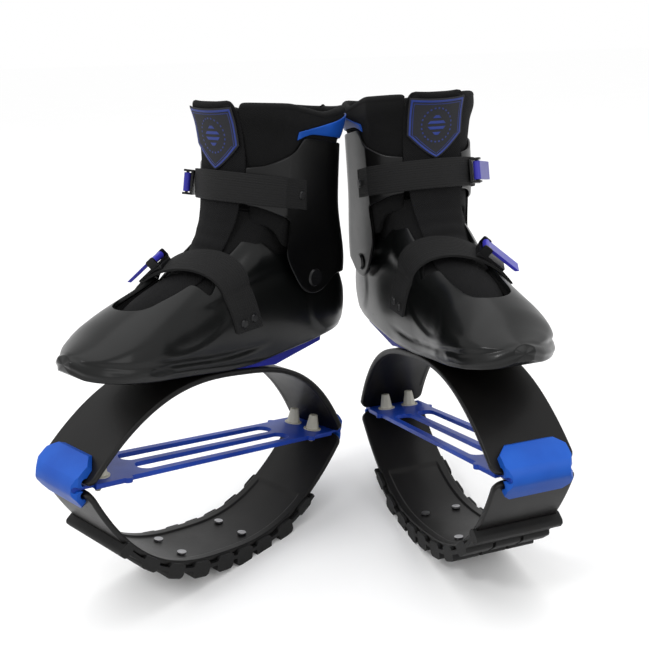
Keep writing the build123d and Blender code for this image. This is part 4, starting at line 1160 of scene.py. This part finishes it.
for side in ("right", "left"):
    own = side + "_"
    boot, cuff_body = own + "boot", own + "cuff_frame"

    def here(*point):
        return tuple(float(c) for c in placed(side, point))

    collar_bends = [here(*place) for place in collar_bend]
    tongue_bends = [here(*place) for place in tongue_bend]

    def direction(*way):
        line = placed(side, way) - placed(side, (0, 0, 0))
        return tuple(float(c) for c in line / np.linalg.norm(line))

    for key, body, edge, material, slot in copies:
        cuts = cap_cuts(1 if key == "front_cap" else -1) if material == cap_blue else ()
        give(from_cad(own + key, edge, side=side, cuts=cuts), own + body, material, slot, own + key)
    pad = surface(own + "instep_buckle_pad", side, pad_points)
    give(pad, boot, buckle_black, "buckle_black")
    for key, material in cad_materials.items():
        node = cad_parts[own + key]
        for held in node.material_slots:
            held.material = material

    shell = thicken(surface(own + "shell_look", side, shell_points, closed=False), shell_wall, 0.9)
    give(shell, boot, shell_black, "shell_black", own + "shell")
    liner = thicken(surface(own + "liner_foot_look", side, liner_points, closed=False), liner_wall, 1.6)
    give(liner, boot, lining_black, "lining_black", own + "liner_foot")
    cuff = surface(own + "cuff_look", side, cuff_points)
    give(cuff, cuff_body, cuff_black, "shell_black", own + "cuff")
    collar = surface(own + "liner_collar_look", side, collar_points)
    give(collar, None, lining_black, "lining_black", own + "liner_collar")
    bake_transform(collar)
    gusset = surface(own + "gusset", side, gusset_points)
    give(gusset, None, lining_black, "lining_black")
    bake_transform(gusset)
    tongue = surface(own + "tongue_look", side, tongue_points)
    give(tongue, None, tongue_black, "tongue_black", own + "tongue")
    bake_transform(tongue)
    rim = surface(own + "collar_binding", side, tube(collar_rim, 4.2))
    give(rim, cuff_body, binding_black, "lining_black")
    tip = surface(own + "tongue_binding", side, tube(tongue_tip, 3.6))
    give(tip, cuff_body, binding_black, "tongue_black")
    trim = surface(own + "collar_trim_look", side, trim_points)
    give(trim, cuff_body, trim_blue, "trim_blue", own + "collar_trim")
    marks = {"edge": badge_edge}
    badge = surface(own + "badge_look", side, badge_points, badge_uv, closed=False, marks=marks)
    thicken(badge, badge_thickness, 0.3)
    give(badge, cuff_body, badge_patch, "badge_navy", own + "badge")
    strap = surface(own + "ankle_strap_look", side, ankle_strap_points.transpose(1, 0, 2))
    give(strap, cuff_body, strap_black, "strap_black", own + "ankle_strap")
    strap = strap_lengths(from_cad(own + "instep_strap", 0.4), side)
    give(strap, boot, strap_black, "strap_black", own + "instep_strap")

    bow = give(surface(own + "upper_bow_rear", side, upper_rear_points), None, bow_black, "bow_black")
    bow_rear_end = here(-bow_reach, 0, upper_crown - upper_drop)
    here(bow_nest_fade[1], 0, upper_crown)
    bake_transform(bow)
    bow = surface(own + "upper_bow_front", side, upper_front_points)
    give(bow, boot, bow_black, "bow_black", own + "upper_bow")
    direction(0, 0, 1)
    here(0, 0, upper_crown)
    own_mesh(bow)
    bow = surface(own + "lower_bow_look", side, lower_bow_points)
    give(bow, own + "sole", bow_black, "bow_black", own + "lower_bow")
    direction(0, 0, 1)
    here(0, 0, lower_crown)
    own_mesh(bow)
    tread = give(from_cad(own + "tread", 0.8), own + "sole", tread_black, "tread_black", own + "tread")
    direction(0, 0, 1)
    here(0, 0, lower_crown)
    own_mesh(tread)
    spring = give(from_cad(own + "t_spring", 0.9), None, spring_blue, "spring_blue", own + "t_spring")
    spring_ends = here(-slot_reach, 0, hinge_height), here(slot_reach, 0, hinge_height)
    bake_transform(spring)

# Floor, world and lights
floor_mesh = bpy.data.meshes.new("floor")
floor_reach = 30
floor_corners = [
    (-floor_reach, -floor_reach, 0), (floor_reach, -floor_reach, 0), (floor_reach, floor_reach, 0),
    (-floor_reach, floor_reach, 0),
]
floor_mesh.from_pydata(floor_corners, [], [(0, 1, 2, 3)])
floor = bpy.data.objects.new("floor", floor_mesh)
bpy.context.scene.collection.objects.link(floor)
floor_graph = Graph("floor_white")
white = floor_graph.mix(floor_graph.noise(3), tone(253, 253, 253), tone(255, 255, 255))
seen_camera, seen_glossy, seen_through = [
    floor_graph.node("ShaderNodeLightPath", output=ray)
    for ray in ("Is Camera Ray", "Is Glossy Ray", "Is Transmission Ray")
]
floor_mesh.materials.append(floor_graph.give(
    Base_Color=floor_graph.mix(seen_camera + seen_glossy + seen_through, tone(120, 120, 120), white),
    Roughness=0.9, Specular_IOR_Level=0.0,
))

scene = bpy.context.scene
world = bpy.data.worlds.new("studio")
scene.world = world
world.use_nodes = True
tree = world.node_tree
tree.nodes.clear()
sky = tree.nodes.new("ShaderNodeBackground")
sky.inputs[0].default_value = (1, 1, 1, 1)
sky.inputs[1].default_value = 1.0
output = tree.nodes.new("ShaderNodeOutputWorld")
tree.links.new(sky.outputs[0], output.inputs[0])


def area_light(name, place, target, width, height, power):
    """A soft rectangular light that looks at a target."""
    light = bpy.data.lights.new(name, "AREA")
    light.shape = "RECTANGLE"
    light.size, light.size_y = width, height
    light.energy = power
    made = bpy.data.objects.new(name, light)
    made.location = place
    made.rotation_euler = (Vector(target) - Vector(place)).to_track_quat("-Z", "Y").to_euler()
    scene.collection.objects.link(made)


area_light("key", (-1.1, -1.3, 1.9), (0, 0, 0.2), 0.5, 0.4, 12)
area_light("fill", (1.5, -1.2, 1.3), (0, 0, 0.2), 1.1, 1.1, 7)
area_light("top", (-0.1, 0.1, 2.1), (0, 0, 0.25), 2.2, 1.6, 12)

# Camera
camera_place = (161.35, -748.4, 494.9)
camera_yaw = -12.37
camera_pitch = 18.6
camera_roll = -2.13
focal_pixels = 833.33
picture_pixels = 649
sensor_width = 36
yaw, pitch, roll = (math.radians(a) for a in (camera_yaw, camera_pitch, camera_roll))
look = Vector((math.sin(yaw) * math.cos(pitch), math.cos(yaw) * math.cos(pitch), -math.sin(pitch)))
level = Vector((math.cos(yaw), -math.sin(yaw), 0))
above = level.cross(look)
right = level * math.cos(roll) + above * math.sin(roll)
up = above * math.cos(roll) - level * math.sin(roll)
camera_data = bpy.data.cameras.new("camera")
camera_data.sensor_width = sensor_width
camera_data.lens = focal_pixels / picture_pixels * sensor_width
camera_data.clip_start = 0.05
camera_data.clip_end = 100
camera = bpy.data.objects.new("camera", camera_data)
scene.collection.objects.link(camera)
camera.matrix_world = Matrix((
    (right.x, up.x, -look.x, camera_place[0] / 1000),
    (right.y, up.y, -look.y, camera_place[1] / 1000),
    (right.z, up.z, -look.z, camera_place[2] / 1000),
    (0, 0, 0, 1),
))
scene.camera = camera
scene.view_settings.view_transform = "Standard"
